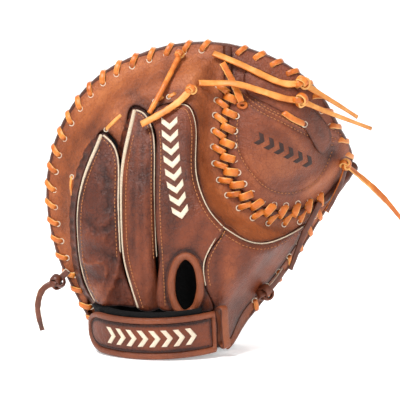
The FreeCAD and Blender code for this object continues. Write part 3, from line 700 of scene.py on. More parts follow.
def surface_frame(place, line, lift):
    """Points of a plane line laid on a surface, and the normals there, pointing outwards."""
    level = np.full(len(line), float(lift)) if np.isscalar(lift) else lift
    at = place(line, level)
    step = 0.5
    dx = place(line + (step, 0), level) - at
    dz = place(line + (0, step), level) - at
    normal = unit(np.cross(dx, dz))
    away = place(line, level + 1) - at
    flip = np.sign((normal * away).sum(1))[:, None]
    return at, normal * flip


def stitch_row(place, line, lift=0.25, pitch=3.4, length=2.3, radius=0.42):
    """Separate thread stitches along a plane line on a surface."""
    line = spline(line, step=pitch) if len(line) < 40 else line
    at, normal = surface_frame(place, line, lift)
    tangent = directions(at)
    shapes = []
    stations = np.array([-1.0, -0.86, -0.4, 0.4, 0.86, 1.0])
    fat = np.array([0.25, 0.75, 1.0, 1.0, 0.75, 0.25])
    for q, n, t in zip(at, normal, tangent):
        path = q + t * stations[:, None] * length / 2 - n * 0.25 * (stations[:, None] ** 2)
        shapes.append(sweep(path, np.tile(n, (len(path), 1)), oval(radius, radius, 6), False, fat))
    return shapes


def roll_on(place, line, lift, half_wide, half_tall, closed=False, scale=None, count=12):
    """A soft roll lying along a plane line on a surface."""
    at, normal = surface_frame(place, line, lift)
    return sweep(at, normal, oval(half_wide, half_tall, count), closed, scale)


def bends(thing, slot, *nodes):
    """The piece crosses the fold; its placement is baked into its mesh, and the named imported parts are
    hidden.
    """
    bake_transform(thing)
    if nodes:
        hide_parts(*nodes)
    return thing


def rides(thing, body, slot, *nodes):
    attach(thing, body)
    if nodes:
        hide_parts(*nodes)
    return thing


def both(label):
    return label + "_finger_side", label + "_thumb_side"


def shade(base, *spots):
    """Level of painted shade, painted highlight and wear over the plane: spots are (line, closed, amount,
    width).
    """
    def level(p):
        total = np.full(len(p), float(base))
        for line, closed, amount, width in spots:
            total += amount * np.exp(-(distance(p, line, closed) / width) ** 2)
        return total
    return level


def along(points, amount, width):
    """A spot along the open line through some points, for the level of painted shade, painted highlight and
    wear.
    """
    return spline(points), False, amount, width


def crease(points, depth, wide):
    return spline(points, step=2.5), depth, wide


# ================================================================ embroidery
EMBLEM_LIFT = 0.5


def chevrons(line, wide, tall, thick, pitch):
    """Closed outlines of a row of chevrons pointing along a line."""
    at = spline(line, step=pitch)
    t, n = directions(at), left_of(at)
    shape = [(-wide / 2, -tall / 2), (-wide / 2 + thick, -tall / 2), (wide / 2, 0),
             (-wide / 2 + thick, tall / 2),
             (-wide / 2, tall / 2), (wide / 2 - thick, 0)]
    found = []
    for q, a, b in zip(at, t, n):
        corners = np.array([q + a * u + b * v for u, v in shape])
        found.append(np.vstack([np.linspace(c, d, 6)[:-1] for c, d in zip(corners, np.roll(corners, -1, 0))]))
    return found


def raised_row(name, place, marks, lift, material):
    """Closely stitched marks standing a little proud of the leather."""
    def keep(p):
        return np.any([inside(p, m) for m in marks], axis=0)
    return sheet(name, marks, keep, lambda p, up: place(p, up + lift), lift + 0.4, material, 1.2, (0.35, 1.0))


# ================================================================ the palm
# The padding's outline: the palm's, with the heel carried to the floor, and a gap behind the lace holes
PAD_GAP = 4.5
HEEL_DROP = np.column_stack([RIM[:, 0], RIM[:, 1] - 20 * smooth((13 - RIM[:, 1]) / 4)])
PAD_OUTLINE = grown(HEEL_DROP, -LACE_INSET - PAD_GAP)
PAD_OUTLINE = np.column_stack([PAD_OUTLINE[:, 0], np.maximum(PAD_OUTLINE[:, 1], 0.4)])
PAD_OUTLINE = PAD_OUTLINE[np.linalg.norm(PAD_OUTLINE - np.roll(PAD_OUTLINE, 1, 0), axis=1) > 0.3]
PAD_NOTCH = web_side(-WEB_GAP - LACE_INSET - PAD_GAP)
WEB_PAD_AREA = web_side(WEB_GAP + LACE_INSET + PAD_GAP)


def pad_depth(p):
    return bowl(p) - SKIN - palm_back(p)


def make_palm():
    folds = [([(-118, 60), (-94, 104), (-66, 160), (-52, 236)], 1.1, 4.5),
             ([(-22, 6), (-14, 40), (0, 84), (16, 118), (25, 140)], 2.4, 5.0),
             ([(18, 18), (32, 62), (44, 118)], 1.5, 4.0), ([(-66, 10), (-44, 60), (-26, 126)], 1.2, 4.5),
             ([(-58, 10), (-30, 22), (0, 20), (14, 10)], 1.2, 5.0)]
    creases = [crease(*fold) for fold in folds]
    # painted shade: darker in the pocket's middle, along the rim and along the folds
    shade_and_wear = shade(0.52, along([(-50, 130), (-20, 158), (8, 176)], -0.24, 30), (FLAT_RIM, True, -0.12, 10),
                 *[(spline(line), False, -0.07, 5) for line, depth, wide in folds])
    palm = sheet("pocket_leather", *region(FLAT_RIM, PALM_NOTCH), on_front, LEATHER, POCKET, 4.0,
                 grooves=creases, wear_and_shade=shade_and_wear, edge=ROLL,
                 relief=lambda p: 0.5 * noise(p, 26, 3) + 0.25 * noise(p, 9, 4))
    bends(palm, "pocket_leather", *both("palm_leather"))
    rows = []
    for seam in ([(-66, 12), (-62, 20), (-30, 32), (6, 28), (20, 18)],
                 [(-66, 15), (-62, 23), (-30, 35), (6, 31), (21, 21)],
                 [(-96, 52), (-78, 104), (-50, 150), (-30, 196), (-28, 240)]):
        rows += stitch_row(SURFACE["pocket_leather"], seam, 0.3)
    bends(joined("palm_stitching", rows, [STITCH]), "pocket_leather")
    heel = np.column_stack([np.linspace(-66, 12, 60), np.full(60, 3.4)])
    bends(joined("heel_roll", [roll_on(on_front, heel, 1.2, 2.6, 2.4)], [ROLL]), "dark_leather")
    # dark leather held at its dark end: the heel's own dark leather, and painted shade under the mitt
    pad = sheet("palm_padding", *region(PAD_OUTLINE, PAD_NOTCH), on_back(palm_back, 0.0),
                pad_depth, DARK, 4.5, rounding=0.5, wear_and_shade=shade(0.2))
    bends(pad, "felt", *both("palm_felt"))


def make_web():
    """The web's two leathers and its padding, with the sewn band across its top."""
    u_seam = [(34, 213), (35, 182), (46, 163), (64, 147), (86, 143), (109, 154), (123, 178)]
    band_seam = [(36, 232), (51, 219.5), (74, 208), (92, 198.5), (109, 191), (123, 185)]
    upper_seam = [(40, 238), (54, 225), (77, 213), (96, 203.5), (112, 197), (126, 191)]
    right_seam = [(94, 216), (112, 206), (128, 197), (137, 190)]
    creases = [crease(u_seam, 0.8, 1.6), crease(band_seam, 0.9, 1.6), crease(upper_seam, 0.7, 1.6),
               crease(right_seam, 0.8, 1.8),
               crease([(100, 143), (118, 154), (131, 168), (139, 182)], -3.4, 6.5),
               crease([(80, 214), (104, 206), (128, 193)], -1.6, 5.0),
               crease([(108, 186), (124, 176), (138, 172)], 1.4, 4.0),
               crease([(60, 200), (75, 192), (84, 180)], 0.35, 4.0),
               crease([(72, 152), (100, 160), (124, 176)], 1.2, 5.0)]
    # painted shade along the web edge and in the groove near the top right, painted highlight on the raised
    # fold at the right, lighter on a patch in the middle
    shade_and_wear = shade(0.5, (WEB_EDGE, False, -0.2, 9), along([(60, 170), (86, 176)], 0.1, 20),
                 along([(104, 146), (128, 166)], 0.14, 10), along([(100, 190), (128, 180)], -0.12, 8))
    back = sheet("web_back", *shared(FLAT_RIM, WEB_AREA), on_back(palm_back), LEATHER, WEB, 2.6, (1.2, 6),
                 creases, relief=lambda p: 0.6 * noise(p, 20, 7) + 0.25 * noise(p, 8, 8), wear_and_shade=shade_and_wear)
    bends(back, "back_leather", *both("web_back_leather"))
    seams = []
    for seam in (u_seam, band_seam, upper_seam, right_seam):
        seams += stitch_row(SURFACE["web_back"], seam, 0.35)
    seams += stitch_row(SURFACE["web_back"], [(x + 1.4, z + 3.4) for x, z in band_seam], 0.35)
    bends(joined("web_stitching", seams, [STITCH]), "back_leather")
    # painted shade in the middle and along the rim
    front = sheet("web_front", *shared(FLAT_RIM, WEB_AREA), on_front, LEATHER, POCKET, 4.0, (0.8, 6),
                  [crease(u_seam, 1.0, 2.0)], relief=lambda p: 0.4 * noise(p, 18, 9), edge=ROLL,
                  wear_and_shade=shade(0.5, along([(60, 180), (90, 180)], -0.16, 16), (FLAT_RIM, True, -0.12, 8)))
    bends(front, "pocket_leather", *both("web_front_leather"))
    bends(joined("web_front_stitching", stitch_row(SURFACE["web_front"], u_seam, 0.35), [STITCH]),
          "pocket_leather")
    pad = sheet("web_padding", *shared(PAD_OUTLINE, WEB_PAD_AREA), on_back(palm_back, 0.0), pad_depth,
                FELT, 5.0)
    bends(pad, "felt", *both("web_felt"))
    marks = chevrons([(54, 193), (99, 171)], 9.0, 11.0, 5.0, 9.4)
    bends(raised_row("web_mark", SURFACE["web_back"], marks, 0.12, DARK_STITCH), "back_leather")
    # painted shade along the band's edge
    band = sheet("web_band", *region(WEB_BAND), on_back(palm_back, BAND_LIFT), 2.3, WEB, 2.6,
                 (1.5, 8), [crease([(62, 240), (88, 224), (112, 198)], 0.5, 5.0)],
                 relief=lambda p: 0.8 * noise(p, 14, 11), wear_and_shade=shade(0.55, (WEB_BAND, True, -0.05, 4)))
    bends(band, "back_leather", *both("web_top_band"))
    core = WEB_EDGE[(WEB_EDGE[:, 1] < 277) & (WEB_EDGE[:, 0] < 148)]
    by_thumb = smooth((core[:, 0] - 112) / 26)
    fat = 1 + 0.12 * np.sin(np.arange(len(core)) * 0.9) + 0.7 * by_thumb
    roll = joined("web_core_roll", [roll_on(on_back(palm_back, 1.0), core, 1.0, 3.4, 3.0, scale=fat)], [ROLL])
    bends(roll, "dark_leather", *both("web_core_strip"))


make_palm()
make_web()

# ================================================================ the outer back
HOLE = np.array([-12.5, 66.0])
HOLE_HALF_WIDE, HOLE_HALF_TALL = 8.5, 22.0


def hole_line(grow, count=44):
    """The finger hole's outline, clockwise, grown outwards."""
    return HOLE + oval(HOLE_HALF_WIDE + grow, HOLE_HALF_TALL + grow, count)[::-1]


WRIST_CUT = np.array([(-104, 45.0), (24, 45.0), (24, -30.0), (-104, -30.0)])
WRIST_CUT = np.vstack([np.linspace(a, b, 40)[:-1] for a, b in zip(WRIST_CUT, np.roll(WRIST_CUT, -1, 0))])
PINKY_CUT, RING_CUT = grown(PINKY_STALL, 2.0), grown(RING_STALL, 2.0)


def make_outer_back():
    creases = [crease([(-104, 196), (-84, 224), (-52, 244), (-18, 252)], 0.6, 5.0),
               crease([(-28, 262), (-26, 240), (-10, 232)], 0.5, 4.0),
               crease([(6, 262), (8, 236), (6, 210)], 0.6, 6.0),
               crease([(-128, 110), (-124, 150), (-112, 186)], 0.5, 5.0),
               crease([(-60, 232), (-46, 226), (-30, 232)], 0.5, 4.0)]
    # painted shade round the stalls, the back of the hand and the web edge; painted highlights in bands along
    # the top
    shade_and_wear = shade(0.5, (PINKY_STALL, True, -0.24, 8), (RING_STALL, True, -0.24, 8),
                 (HAND_BACK, True, -0.14, 8),
                 along([(-110, 215), (-70, 246), (-20, 258)], 0.16, 16),
                 along([(12, 250), (12, 190)], 0.10, 10), (WEB_EDGE, False, -0.14, 8),
                 along([(-20, 250), (20, 246)], 0.08, 18))
    back = sheet("outer_back", *region(FLAT_RIM, PALM_NOTCH, PINKY_CUT, RING_CUT, HAND_BACK, THUMB_BACK,
                                       WRIST_CUT),
                 on_back(outer_back), LEATHER, RIM_BACK, 3.2, (0.5, 4), creases,
                 relief=lambda p: 0.55 * noise(p, 24, 1) + 0.2 * noise(p, 8, 2), wear_and_shade=shade_and_wear)
    bends(back, "back_leather", *both("outer_back_leather"))


ROLL_HALF_WIDE, ROLL_HALF_THICK = 5.6, 2.5


def make_rim_roll():
    """The rolled binding round the laced edge, seen between the stitches."""
    line = grown(RIM, -1.6)
    line = np.roll(line, -int(np.argmin(line[:, 1])), 0)
    line = line[line[:, 1] > 3.5]
    shapes = []
    for part in np.split(line, np.where(np.linalg.norm(np.diff(line, axis=0), axis=1) > 8)[0] + 1):
        if len(part) < 5:
            continue
        middle = (bowl(part) + palm_back(part) - SKIN) / 2
        path = np.column_stack([part[:, 0], middle, part[:, 1]])
        normal = np.column_stack([left_of(part)[:, 0], np.zeros(len(part)), left_of(part)[:, 1]])
        soft = 1 + 0.05 * np.sin(np.arange(len(part)) * 0.7)
        shapes.append(sweep(path, normal, oval(ROLL_HALF_WIDE, ROLL_HALF_THICK, 14), scale=soft))
    bends(joined("rim_roll", shapes, [ROLL]), "dark_leather", *both("rim_roll"))


make_outer_back()
make_rim_roll()


# ================================================================ finger stalls and the back of the hand
GUSSET_ROWS, GUSSET_THICK = 11, 1.4


def gusset(name, points, top, base, spread, folds, shade_level):
    """A crinkled wall from a stall's seam, out and down to the leather it is sewn to."""
    line = spline(points, step=1.3)
    out = left_of(line)
    spread = spread * smooth((len(line) - 1 - np.arange(len(line))) / 14 + 0.15)[:, None]
    rows, columns = GUSSET_ROWS, len(line)
    front, level = [], []
    for row in range(rows):
        v = row / (rows - 1)
        p = line + out * spread * v ** 1.3
        depth = (1 - v) * top(line) + v * (base(line + out * spread) + 0.8)
        fold = np.sin(np.cumsum(np.full(columns, 1.3)) / folds * 2 * math.pi + 2.2 * noise(p, 11, 13))
        ripple = (0.55 * fold + 0.6 * noise(p, 5, 12)) * math.sin(math.pi * v)
        front.append(np.column_stack([p[:, 0] + out[:, 0] * ripple, depth, p[:, 1] + out[:, 1] * ripple]))
        # painted highlight on the ripples' outward crests
        level.append(shade_level + 0.3 * ripple)
    front = np.array(front)
    behind = front.copy()
    behind[..., 0] -= out[:, 0] * GUSSET_THICK
    behind[..., 2] -= out[:, 1] * GUSSET_THICK
    behind[..., 1] += 0.5
    n = rows * columns
    quads = [(r * columns + c, r * columns + c + 1, (r + 1) * columns + c + 1, (r + 1) * columns + c)
             for r in range(rows - 1) for c in range(columns - 1)]
    faces = quads + [tuple(i + n for i in q) for q in quads]
    ring = ([(0, c) for c in range(columns)] + [(r, columns - 1) for r in range(1, rows)]
            + [(rows - 1, c) for c in range(columns - 2, -1, -1)] + [(r, 0) for r in range(rows - 2, 0, -1)])
    ids = [r * columns + c for r, c in ring]
    faces += [(a, b, b + n, a + n) for a, b in zip(ids, ids[1:] + ids[:1])]
    verts = np.vstack([front.reshape(-1, 3), behind.reshape(-1, 3)])
    return make(name, verts, faces, [DARK], None, np.tile(np.concatenate(level), 2))


PINKY_WALL = [(-94, 43), (-104, 54), (-111, 79), (-113, 102), (-113, 129), (-109, 151), (-103, 171),
              (-96, 187), (-90, 197)]
RING_WALL = [(-71.5, 150), (-70, 171), (-66, 193), (-60, 216)]
PINKY_LEFT = [(-89, 196.5), (-94, 184), (-101, 167), (-107, 148), (-110, 129), (-110, 102), (-108, 80),
              (-100, 55), (-95, 46)]
PINKY_RIGHT = [(-87, 196), (-79, 189), (-74, 178), (-72.5, 162), (-72.8, 140), (-72, 113), (-71, 90)]
RING_LEFT = [(-58.5, 219), (-63.5, 197), (-68.5, 171), (-70, 140), (-69.5, 113), (-67, 85), (-60, 60),
             (-55, 44)]
RING_RIGHT = [(-57, 219), (-51, 216.5), (-46, 210), (-42.5, 201), (-40.5, 184), (-40.5, 158), (-39.6, 114),
              (-38.4, 90)]
HAND_RIGHT = [(-40, 216), (-18, 224.5), (-11, 223), (-6, 214.5), (-3.8, 200), (-3.8, 165), (1.2, 146),
              (10.2, 129), (19.5, 118.5)]
HAND_LEFT = [(-38.5, 200), (-37.2, 184), (-37.8, 158), (-37, 114), (-35, 80), (-33.5, 48)]
THUMB_SEAM = [(18, 116), (10, 102), (3.5, 86), (5, 66)]
THUMB_TOP = [(20, 118), (40, 105.5), (55, 101), (72, 101.5), (87, 105.5), (99, 110.5)]


def inward(points, by, step=2.0):
    """A seam line moved to the right of its direction: into the piece, for a clockwise outline."""
    line = spline(points, step=step)
    return line - left_of(line) * by


def make_stalls():
    # painted shade along the stall's left seam
    shaded_left_seam = shade(0.30, (spline(PINKY_LEFT), False, -0.1, 5))
    folds = [crease([(-100, 120), (-88, 112), (-76, 118)], 1.2, 3.0),
             crease([(-98, 96), (-84, 92), (-72, 84)], 1.4, 3.5),
             crease([(-106, 76), (-92, 70), (-72, 66)], 1.2, 3.0),
             crease([(-92, 184), (-84, 160), (-80, 132)], 0.8, 3.5)]
    # painted highlight on the crests of the crinkles that the relief raises, painted shade along the left
    # seam
    pinky = sheet("pinky_stall", *region(PINKY_STALL), on_back(pinky_shell), LEATHER, DARK,
                  1.7, (1.6, 5), folds,
                  relief=lambda p: 3.2 * crinkle(p, 16, 20) * smooth((160 - p[:, 1]) / 70)
                  + 1.3 * crinkle(p, 7, 21) + 0.4 * noise(p, 9, 22) - 1.3,
                  wear_and_shade=lambda p: shaded_left_seam(p) + 0.06
                  + 0.34 * crinkle(p, 16, 20) * smooth((150 - p[:, 1]) / 70) - 0.04 + 0.10 * crinkle(p, 7,
                                                                                                     21))
    rides(pinky, "finger_side", "dark_leather", "pinky_stall_leather")
    ring_folds = [crease([(-55, 208), (-59, 170), (-60, 130), (-57, 80)], 1.0, 3.0),
                  crease([(-49, 205), (-52, 160), (-52, 110), (-48, 66)], 1.2, 3.2),
                  crease([(-44, 190), (-45.5, 150), (-44.5, 110)], 0.6, 2.4)]
    # painted shade along the right seam and painted highlight down the crown, with random tone
    ring = sheet("ring_stall", *region(RING_STALL), on_back(ring_shell), LEATHER, BACK,
                 1.9, (1.6, 5), ring_folds,
                 relief=lambda p: 0.5 * noise(p * (1, 0.25), 5, 24) + 0.4 * noise(p, 14, 25),
                 wear_and_shade=lambda p: shade(0.40, (spline(RING_RIGHT), False, -0.12, 4),
                                      along([(-52, 110), (-50, 70)], 0.12, 10))(p)
                 + 0.16 * noise(p * (1, 0.2), 4, 26))
    rides(ring, "finger_side", "back_leather", "ring_stall_leather")
    # the walls are held near the dark end of the leather: painted shade on the stalls' sides
    wall = gusset("pinky_gusset", PINKY_WALL, outside(pinky_shell, 0.3), outside(outer_back), 8.0, 9.5, 0.22)
    rides(wall, "finger_side", "dark_leather", "pinky_stall_gusset")
    wall = gusset("ring_gusset", RING_WALL, outside(ring_shell, 0.3), outside(outer_back), 6.5, 9.0, 0.2)
    rides(wall, "finger_side", "dark_leather")


def make_hand_back():
    folds = [crease([(-30, 150), (-26, 120), (-27, 96)], 0.6, 5.0),
             crease([(-34, 96), (-30, 70), (-28, 52)], 1.0, 4.0),
             crease([(2, 120), (-6, 100), (-10, 94)], 0.7, 4.0), crease([(-4, 56), (-2, 44)], 0.8, 3.0),
             (hole_line(10.0), 0.7, 2.0)]
    # painted shade along both seams, beside the emblem and round the finger hole; lighter on two patches,
    # near the bottom left and by the thumb seam
    shade_and_wear = shade(0.48, along([(-26, 200), (-20, 130)], -0.12, 14), along([(-34, 200), (-36, 120)], -0.16, 7),
                 along([(-12, 216), (-8, 130)], -0.16, 12),
                 along([(-28, 76), (-30, 60)], 0.2, 12), along([(-2, 130), (8, 110)], 0.1, 8),
                 (hole_line(7), True, -0.1, 4))
    hole = hole_line(4.0)
    hand = sheet("hand_back", *region(HAND_BACK, hole), on_back(hand_shell), LEATHER, BACK, 2.2, (1.4, 5),
                 folds,
                 relief=lambda p: 0.5 * noise(p, 22, 30) + 0.25 * noise(p * (1, 0.35), 6, 31), wear_and_shade=shade_and_wear)
    rides(hand, "finger_side", "back_leather", "hand_back_leather")
    inner = grown(HAND_BACK, -6.0)
    lining = sheet("hand_back_lining_cloth", *region(inner, hole), on_back(hand_shell, -1.9), CLOTH,
                   FLEECE, 4.0)
    rides(lining, "finger_side", "lining", "hand_back_lining")
    thumb_folds = [crease([(16, 96), (14, 70), (18, 44), (20, 20)], 0.9, 4.0),
                   crease([(40, 92), (34, 60), (28, 30)], 0.8, 5.0),
                   crease([(64, 90), (50, 64), (34, 40)], 0.7, 4.0)]
    # painted shade along the thumb's edge, and lighter down the middle of its back
    thumb = sheet("thumb_back", *region(THUMB_BACK, HAND_BACK), on_back(hand_shell), LEATHER, BACK, 2.4,
                  (1.2, 5), thumb_folds, relief=lambda p: 0.6 * noise(p, 20, 33) + 0.3 * noise(p, 8, 34),
                  wear_and_shade=shade(0.52, along([(30, 90), (26, 50)], 0.14, 12), (THUMB_BACK, True, -0.12, 4)))
    bends(thumb, "back_leather", *both("thumb_back_leather"))


make_stalls()
make_hand_back()


def make_linings():
    """The dark cloth behind the palm, inside the hand space, and the walls between the fingers."""
    outlines = {
        "palm_lining": ([(-86, 18), (-98, 40), (-107, 79), (-109, 120), (-105, 150), (-97, 175), (-87, 194),
                         (-62, 205), (-50, 212), (-20, 220), (-6, 205), (-4, 165), (4, 140), (18, 112),
                         (2, 60), (-14, 16), (-50, 14)], "finger_side", (0.134, 0.213), 0.0220),
        "thumb_lining": ([(30, 110), (50, 92), (66, 82), (58, 62), (38, 36), (22, 22), (6, 14), (4, 40),
                          (16, 80)],
                         "thumb_side", (0.072, 0.098), 0.0047)}
    for name, (points, body, cut, area) in outlines.items():
        cloth = sheet(name + "_cloth", *region(spline(points, True)), on_back(palm_back, 0.3), CLOTH,
                      FLEECE, 4.5, relief=lambda p: 0.3 * noise(p, 9, 40))
        if body == "finger_side":
            rides(cloth, body, "lining", name)
        else:
            bends(cloth, "lining", name)
    walls = {"pinky_finger_divider": ([(-57, 46), (-62.5, 63), (-69, 86), (-71, 113), (-72, 140),
                                       (-71.5, 175)],
                                      pinky_shell),
             "ring_finger_divider": ([(-37, 46), (-37.5, 80), (-39, 114), (-40, 158), (-39.5, 190),
                                      (-42, 204)],
                                     ring_shell)}
    for name, (points, face) in walls.items():
        line = spline(points, step=3.0)
        top, foot = face(line) + 2.5, palm_back(line) - 2.0
        path = np.column_stack([line[:, 0], (top + foot) / 2, line[:, 1]])
        side = left_of(line)
        verts, faces, strips = sweep(path, np.column_stack([side[:, 0], np.zeros(len(line)), side[:, 1]]),
                                     oval(1.0, 0.7, 8))
        tall = np.abs(top - foot) / 2
        verts = verts.reshape(len(line), 8, 3)
        verts[:, :, 1] = path[:, None, 1] + (verts[:, :, 1] - path[:, None, 1]) * tall[:, None]
        wall = joined(name.replace("divider", "wall"), [(verts.reshape(-1, 3), faces, strips)], [FLEECE])
        rides(wall, "finger_side", "lining", name)


make_linings()


# ================================================================ welts, pipings and stitching
def welt(place, points, wide, tall, lift, taper):
    """A strip standing on a seam; taper gives its size along the line, start to end."""
    line = spline(points, step=1.6)
    size = np.interp(np.linspace(0, 1, len(line)), np.linspace(0, 1, len(taper)), taper)
    return roll_on(place, line, lift, wide, tall, scale=size, count=10)


def make_welts():
    pinky, ring, hand = on_back(pinky_shell), on_back(ring_shell), on_back(hand_shell)
    shapes = [welt(pinky, PINKY_LEFT, 1.5, 1.6, 0.5, (1.1, 1.1, 0.8, 0.5, 0.4, 0.35, 0.45, 0.5)),
              welt(pinky, PINKY_RIGHT, 0.75, 0.8, 0.6, (1.2, 1.0, 1.0, 0.8))]
    rides(joined("pinky_welt", shapes, [WELT]), "finger_side", "cream_trim", "pinky_stall_welt")
    shapes = [welt(ring, RING_LEFT, 1.75, 1.8, 0.6, (1.1, 1.1, 0.9, 0.7, 0.55, 0.5, 0.55)),
              welt(ring, RING_RIGHT, 0.65, 0.7, 0.5, (1.2, 1.0, 0.8, 0.6))]
    rides(joined("ring_welt", shapes, [WELT]), "finger_side", "cream_trim", "ring_stall_welt")
    shapes = [welt(hand, HAND_RIGHT, 0.62, 0.8, 0.7, (0.8, 1.0, 1.0, 1.0))]
    rides(joined("hand_piping", shapes, [WELT]), "finger_side", "cream_trim", "hand_back_piping")
    shapes = [welt(hand, THUMB_TOP, 0.62, 0.8, 0.8, (1, 1, 1)),
              welt(hand, THUMB_SEAM, 0.6, 0.8, 0.6, (1, 1, 0.8))]
    bends(joined("thumb_seam_piping", shapes, [WELT]), "cream_trim", "thumb_piping")


def make_stitching():
    pinky, ring, hand = SURFACE["pinky_stall"], SURFACE["ring_stall"], SURFACE["hand_back"]
    rows = []
    for place, points, by in ((pinky, PINKY_LEFT[1:], -3.4), (pinky, PINKY_RIGHT, 3.0),
                              (ring, RING_LEFT[1:], -4.2),
                              (ring, RING_RIGHT, 2.6), (hand, HAND_RIGHT, 3.4), (hand, HAND_LEFT, -2.6)):
        rows += stitch_row(place, inward(points, by, 3.2), 0.3)
    rides(joined("finger_stitching", rows, [STITCH]), "finger_side", "back_leather")
    rows = stitch_row(hand, hole_line(10.0, 64), 0.35, 3.2)
    rides(joined("finger_hole_stitching", rows, [DARK_STITCH]), "finger_side", "back_leather")
    thumb = SURFACE["thumb_back"]
    rows = []
    for points, by in ((THUMB_TOP, 4.0), (THUMB_SEAM, -4.0)):
        rows += stitch_row(thumb, inward(points, by, 3.2), 0.3)
    bends(joined("thumb_stitching", rows, [STITCH]), "back_leather")


def make_finger_hole():
    """The rolled binding of the finger hole."""
    line = hole_line(4.3, 52)
    fat = 1 + 0.05 * np.sin(np.arange(len(line)) * 0.8)
    roll = joined("finger_hole_roll", [roll_on(on_back(hand_shell), line, 0.8, 3.4, 3.4, True, fat, 14)],
                  [BINDING])
    rides(roll, "finger_side", "binding_leather", "finger_hole_binding")


def make_hand_emblem():
    marks = chevrons([(-27, 208), (-24, 170), (-17, 131)], 12.0, 14.5, 5.6, 11.4)
    rides(raised_row("hand_emblem", SURFACE["hand_back"], marks, EMBLEM_LIFT, CREAM), "finger_side",
          "cream_trim",
          "hand_back_emblem")


make_welts()
make_stitching()
make_finger_hole()
make_hand_emblem()


# ================================================================ the wrist strap
STRAP_START, STRAP_END, KEEPER = 201.0, 306.0, 311.5      # degrees round the wrist
BAND_START, HEEL_EDGE_START, BAND_END = 188.0, 196.0, 300.0
EMBLEM_START, EMBLEM_END = 230.0, 287.0
STRAP_ROUND = 75.0             # the radius at which lengths along the strap are true
HEEL_EDGE_AT, BAND_AT, LOOP_AT, HOOK_AT = 66.5, 67.3, 68.8, 70.45       # radii of the layers, outwards
BACKING_AT, PANEL_AT, BINDING_AT, KEEPER_AT = 72.6, 75.6, 75.9, 77
LEAN, ROCK = math.radians(7.0), math.radians(-3.0)
STRAP_TURN = (np.array([[1, 0, 0], [0, math.cos(LEAN), -math.sin(LEAN)], [0, math.sin(LEAN), math.cos(LEAN)]])
              @ np.array([[math.cos(ROCK), 0, math.sin(ROCK)], [0, 1, 0],
                          [-math.sin(ROCK), 0, math.cos(ROCK)]]))
STRAP_CENTRE = np.array([-30.0, 21.0])
STRAP_RISE = np.array([0, 0, 27.0])
TAPE_THICK = 1.1


def on_strap(radius):
    """Places (length along the strap, height) on a band round the wrist; lift goes away from the wrist."""
    def place(p, lift):
        angle = np.radians(STRAP_START + np.degrees(p[:, 0] / STRAP_ROUND))
        r = radius + lift
        flat = np.column_stack([STRAP_CENTRE[0] + r * np.cos(angle), STRAP_CENTRE[1] + r * np.sin(angle),
                                p[:, 1]])
        return flat @ STRAP_TURN.T + STRAP_RISE
    return place


def along_strap(degrees):
    return math.radians(degrees - STRAP_START) * STRAP_ROUND


def band_outline(start, end, low, high, corner, step=2.5):
    """A strap's outline: rounded at its free end, square at the other."""
    turn = np.linspace(0, math.pi / 2, 12)
    wide = 1.5 * corner
    lower = np.column_stack([start + wide - wide * np.sin(turn), low + corner - corner * np.cos(turn)])
    upper = np.column_stack([start + wide - wide * np.cos(turn), high - corner + corner * np.sin(turn)])
    rough = [np.linspace((end, low), lower[0], int((end - start - corner) / step))[:-1], lower, upper,
             np.linspace(upper[-1], (end, high), int((end - start - corner) / step))[1:],
             np.linspace((end, high), (end, low), int((high - low) / step))[1:-1]]
    line = np.vstack(rough)
    return line[np.linalg.norm(line - np.roll(line, 1, 0), axis=1) > 0.2]


def make_strap():
    length = along_strap(STRAP_END)
    rim = band_outline(0, length, -18, 20, 16.9)
    window = band_outline(5.4, length - 4.2, -12.0, 14.4, 12)
    panel = band_outline(5.0, length - 4.0, -12.4, 14.8, 12)
    # painted shade along the panel's edges, next to the binding
    face = sheet("strap_panel", *region(panel), on_strap(PANEL_AT), LEATHER, BACK, 2.4, (0.5, 3),
                 [(band_outline(7.2, length - 6, -10.2, 12.6, 10), 0.5, 1.2)],
                 relief=lambda p: 0.3 * noise(p, 16, 50), wear_and_shade=shade(0.42, (panel, True, -0.15, 4)))
    rides(face, "wrist_strap", "back_leather", "strap_leather")
    roll = sheet("strap_roll", *region(rim, window), on_strap(BINDING_AT), 3.0,
                 BINDING, 1.5, (1.6, 3.0), relief=lambda p: 0.25 * noise(p, 7, 51))
    rides(roll, "wrist_strap", "binding_leather", "strap_binding")
    seam = band_outline(7.2, length - 6, -10.2, 12.6, 10, 3.2)
    seam = seam[seam[:, 0] < length - 7]
    rides(joined("strap_stitching", stitch_row(SURFACE["strap_panel"], seam, 0.3), [DARK_STITCH]),
          "wrist_strap", "back_leather")
    back = band_outline(2.8, length - 2.8, -16, 18, 15)
    under = sheet("strap_backing", *region(back), on_strap(BACKING_AT), 2.0, DARK, 4.0, (0.0, 1))
    rides(under, "wrist_strap", "lining", "strap_lining")
    marks = chevrons([(along_strap(EMBLEM_START), 1.4), (along_strap(EMBLEM_END), 1.4)], 10.5, 15.0, 4.8,
                     10.6)
    rides(raised_row("strap_row", SURFACE["strap_panel"], marks, EMBLEM_LIFT, CREAM), "wrist_strap",
          "cream_trim",
          "strap_emblem")
    for name, radius, first, last, body in (("hook_patch", HOOK_AT, 207, 232, "wrist_strap"),
                                            ("loop_patch", LOOP_AT, 205, 234, "finger_side")):
        tape = band_outline(along_strap(first), along_strap(last), -11, 13, 4)
        rides(sheet(name + "_tape", *region(tape), on_strap(radius), TAPE_THICK, TAPE, 4.0),
              body, "hook_and_loop", name)


def make_wrist_band():
    """The fleece-lined band behind the strap."""
    band = band_outline(along_strap(BAND_START), along_strap(BAND_END), -17.5, 22.5, 10)
    fleece = sheet("wrist_fleece", *region(band), on_strap(BAND_AT), 4.0, FLEECE, 2.2, (0.0, 1),
                   relief=lambda p: (smooth((p[:, 1] - 12) / 9)
                                     * (3.2 + 1.3 * noise(p, 6, 52) + 0.6 * noise(p, 2.5, 53))))
    rides(fleece, "finger_side", "lining", "wrist_band")


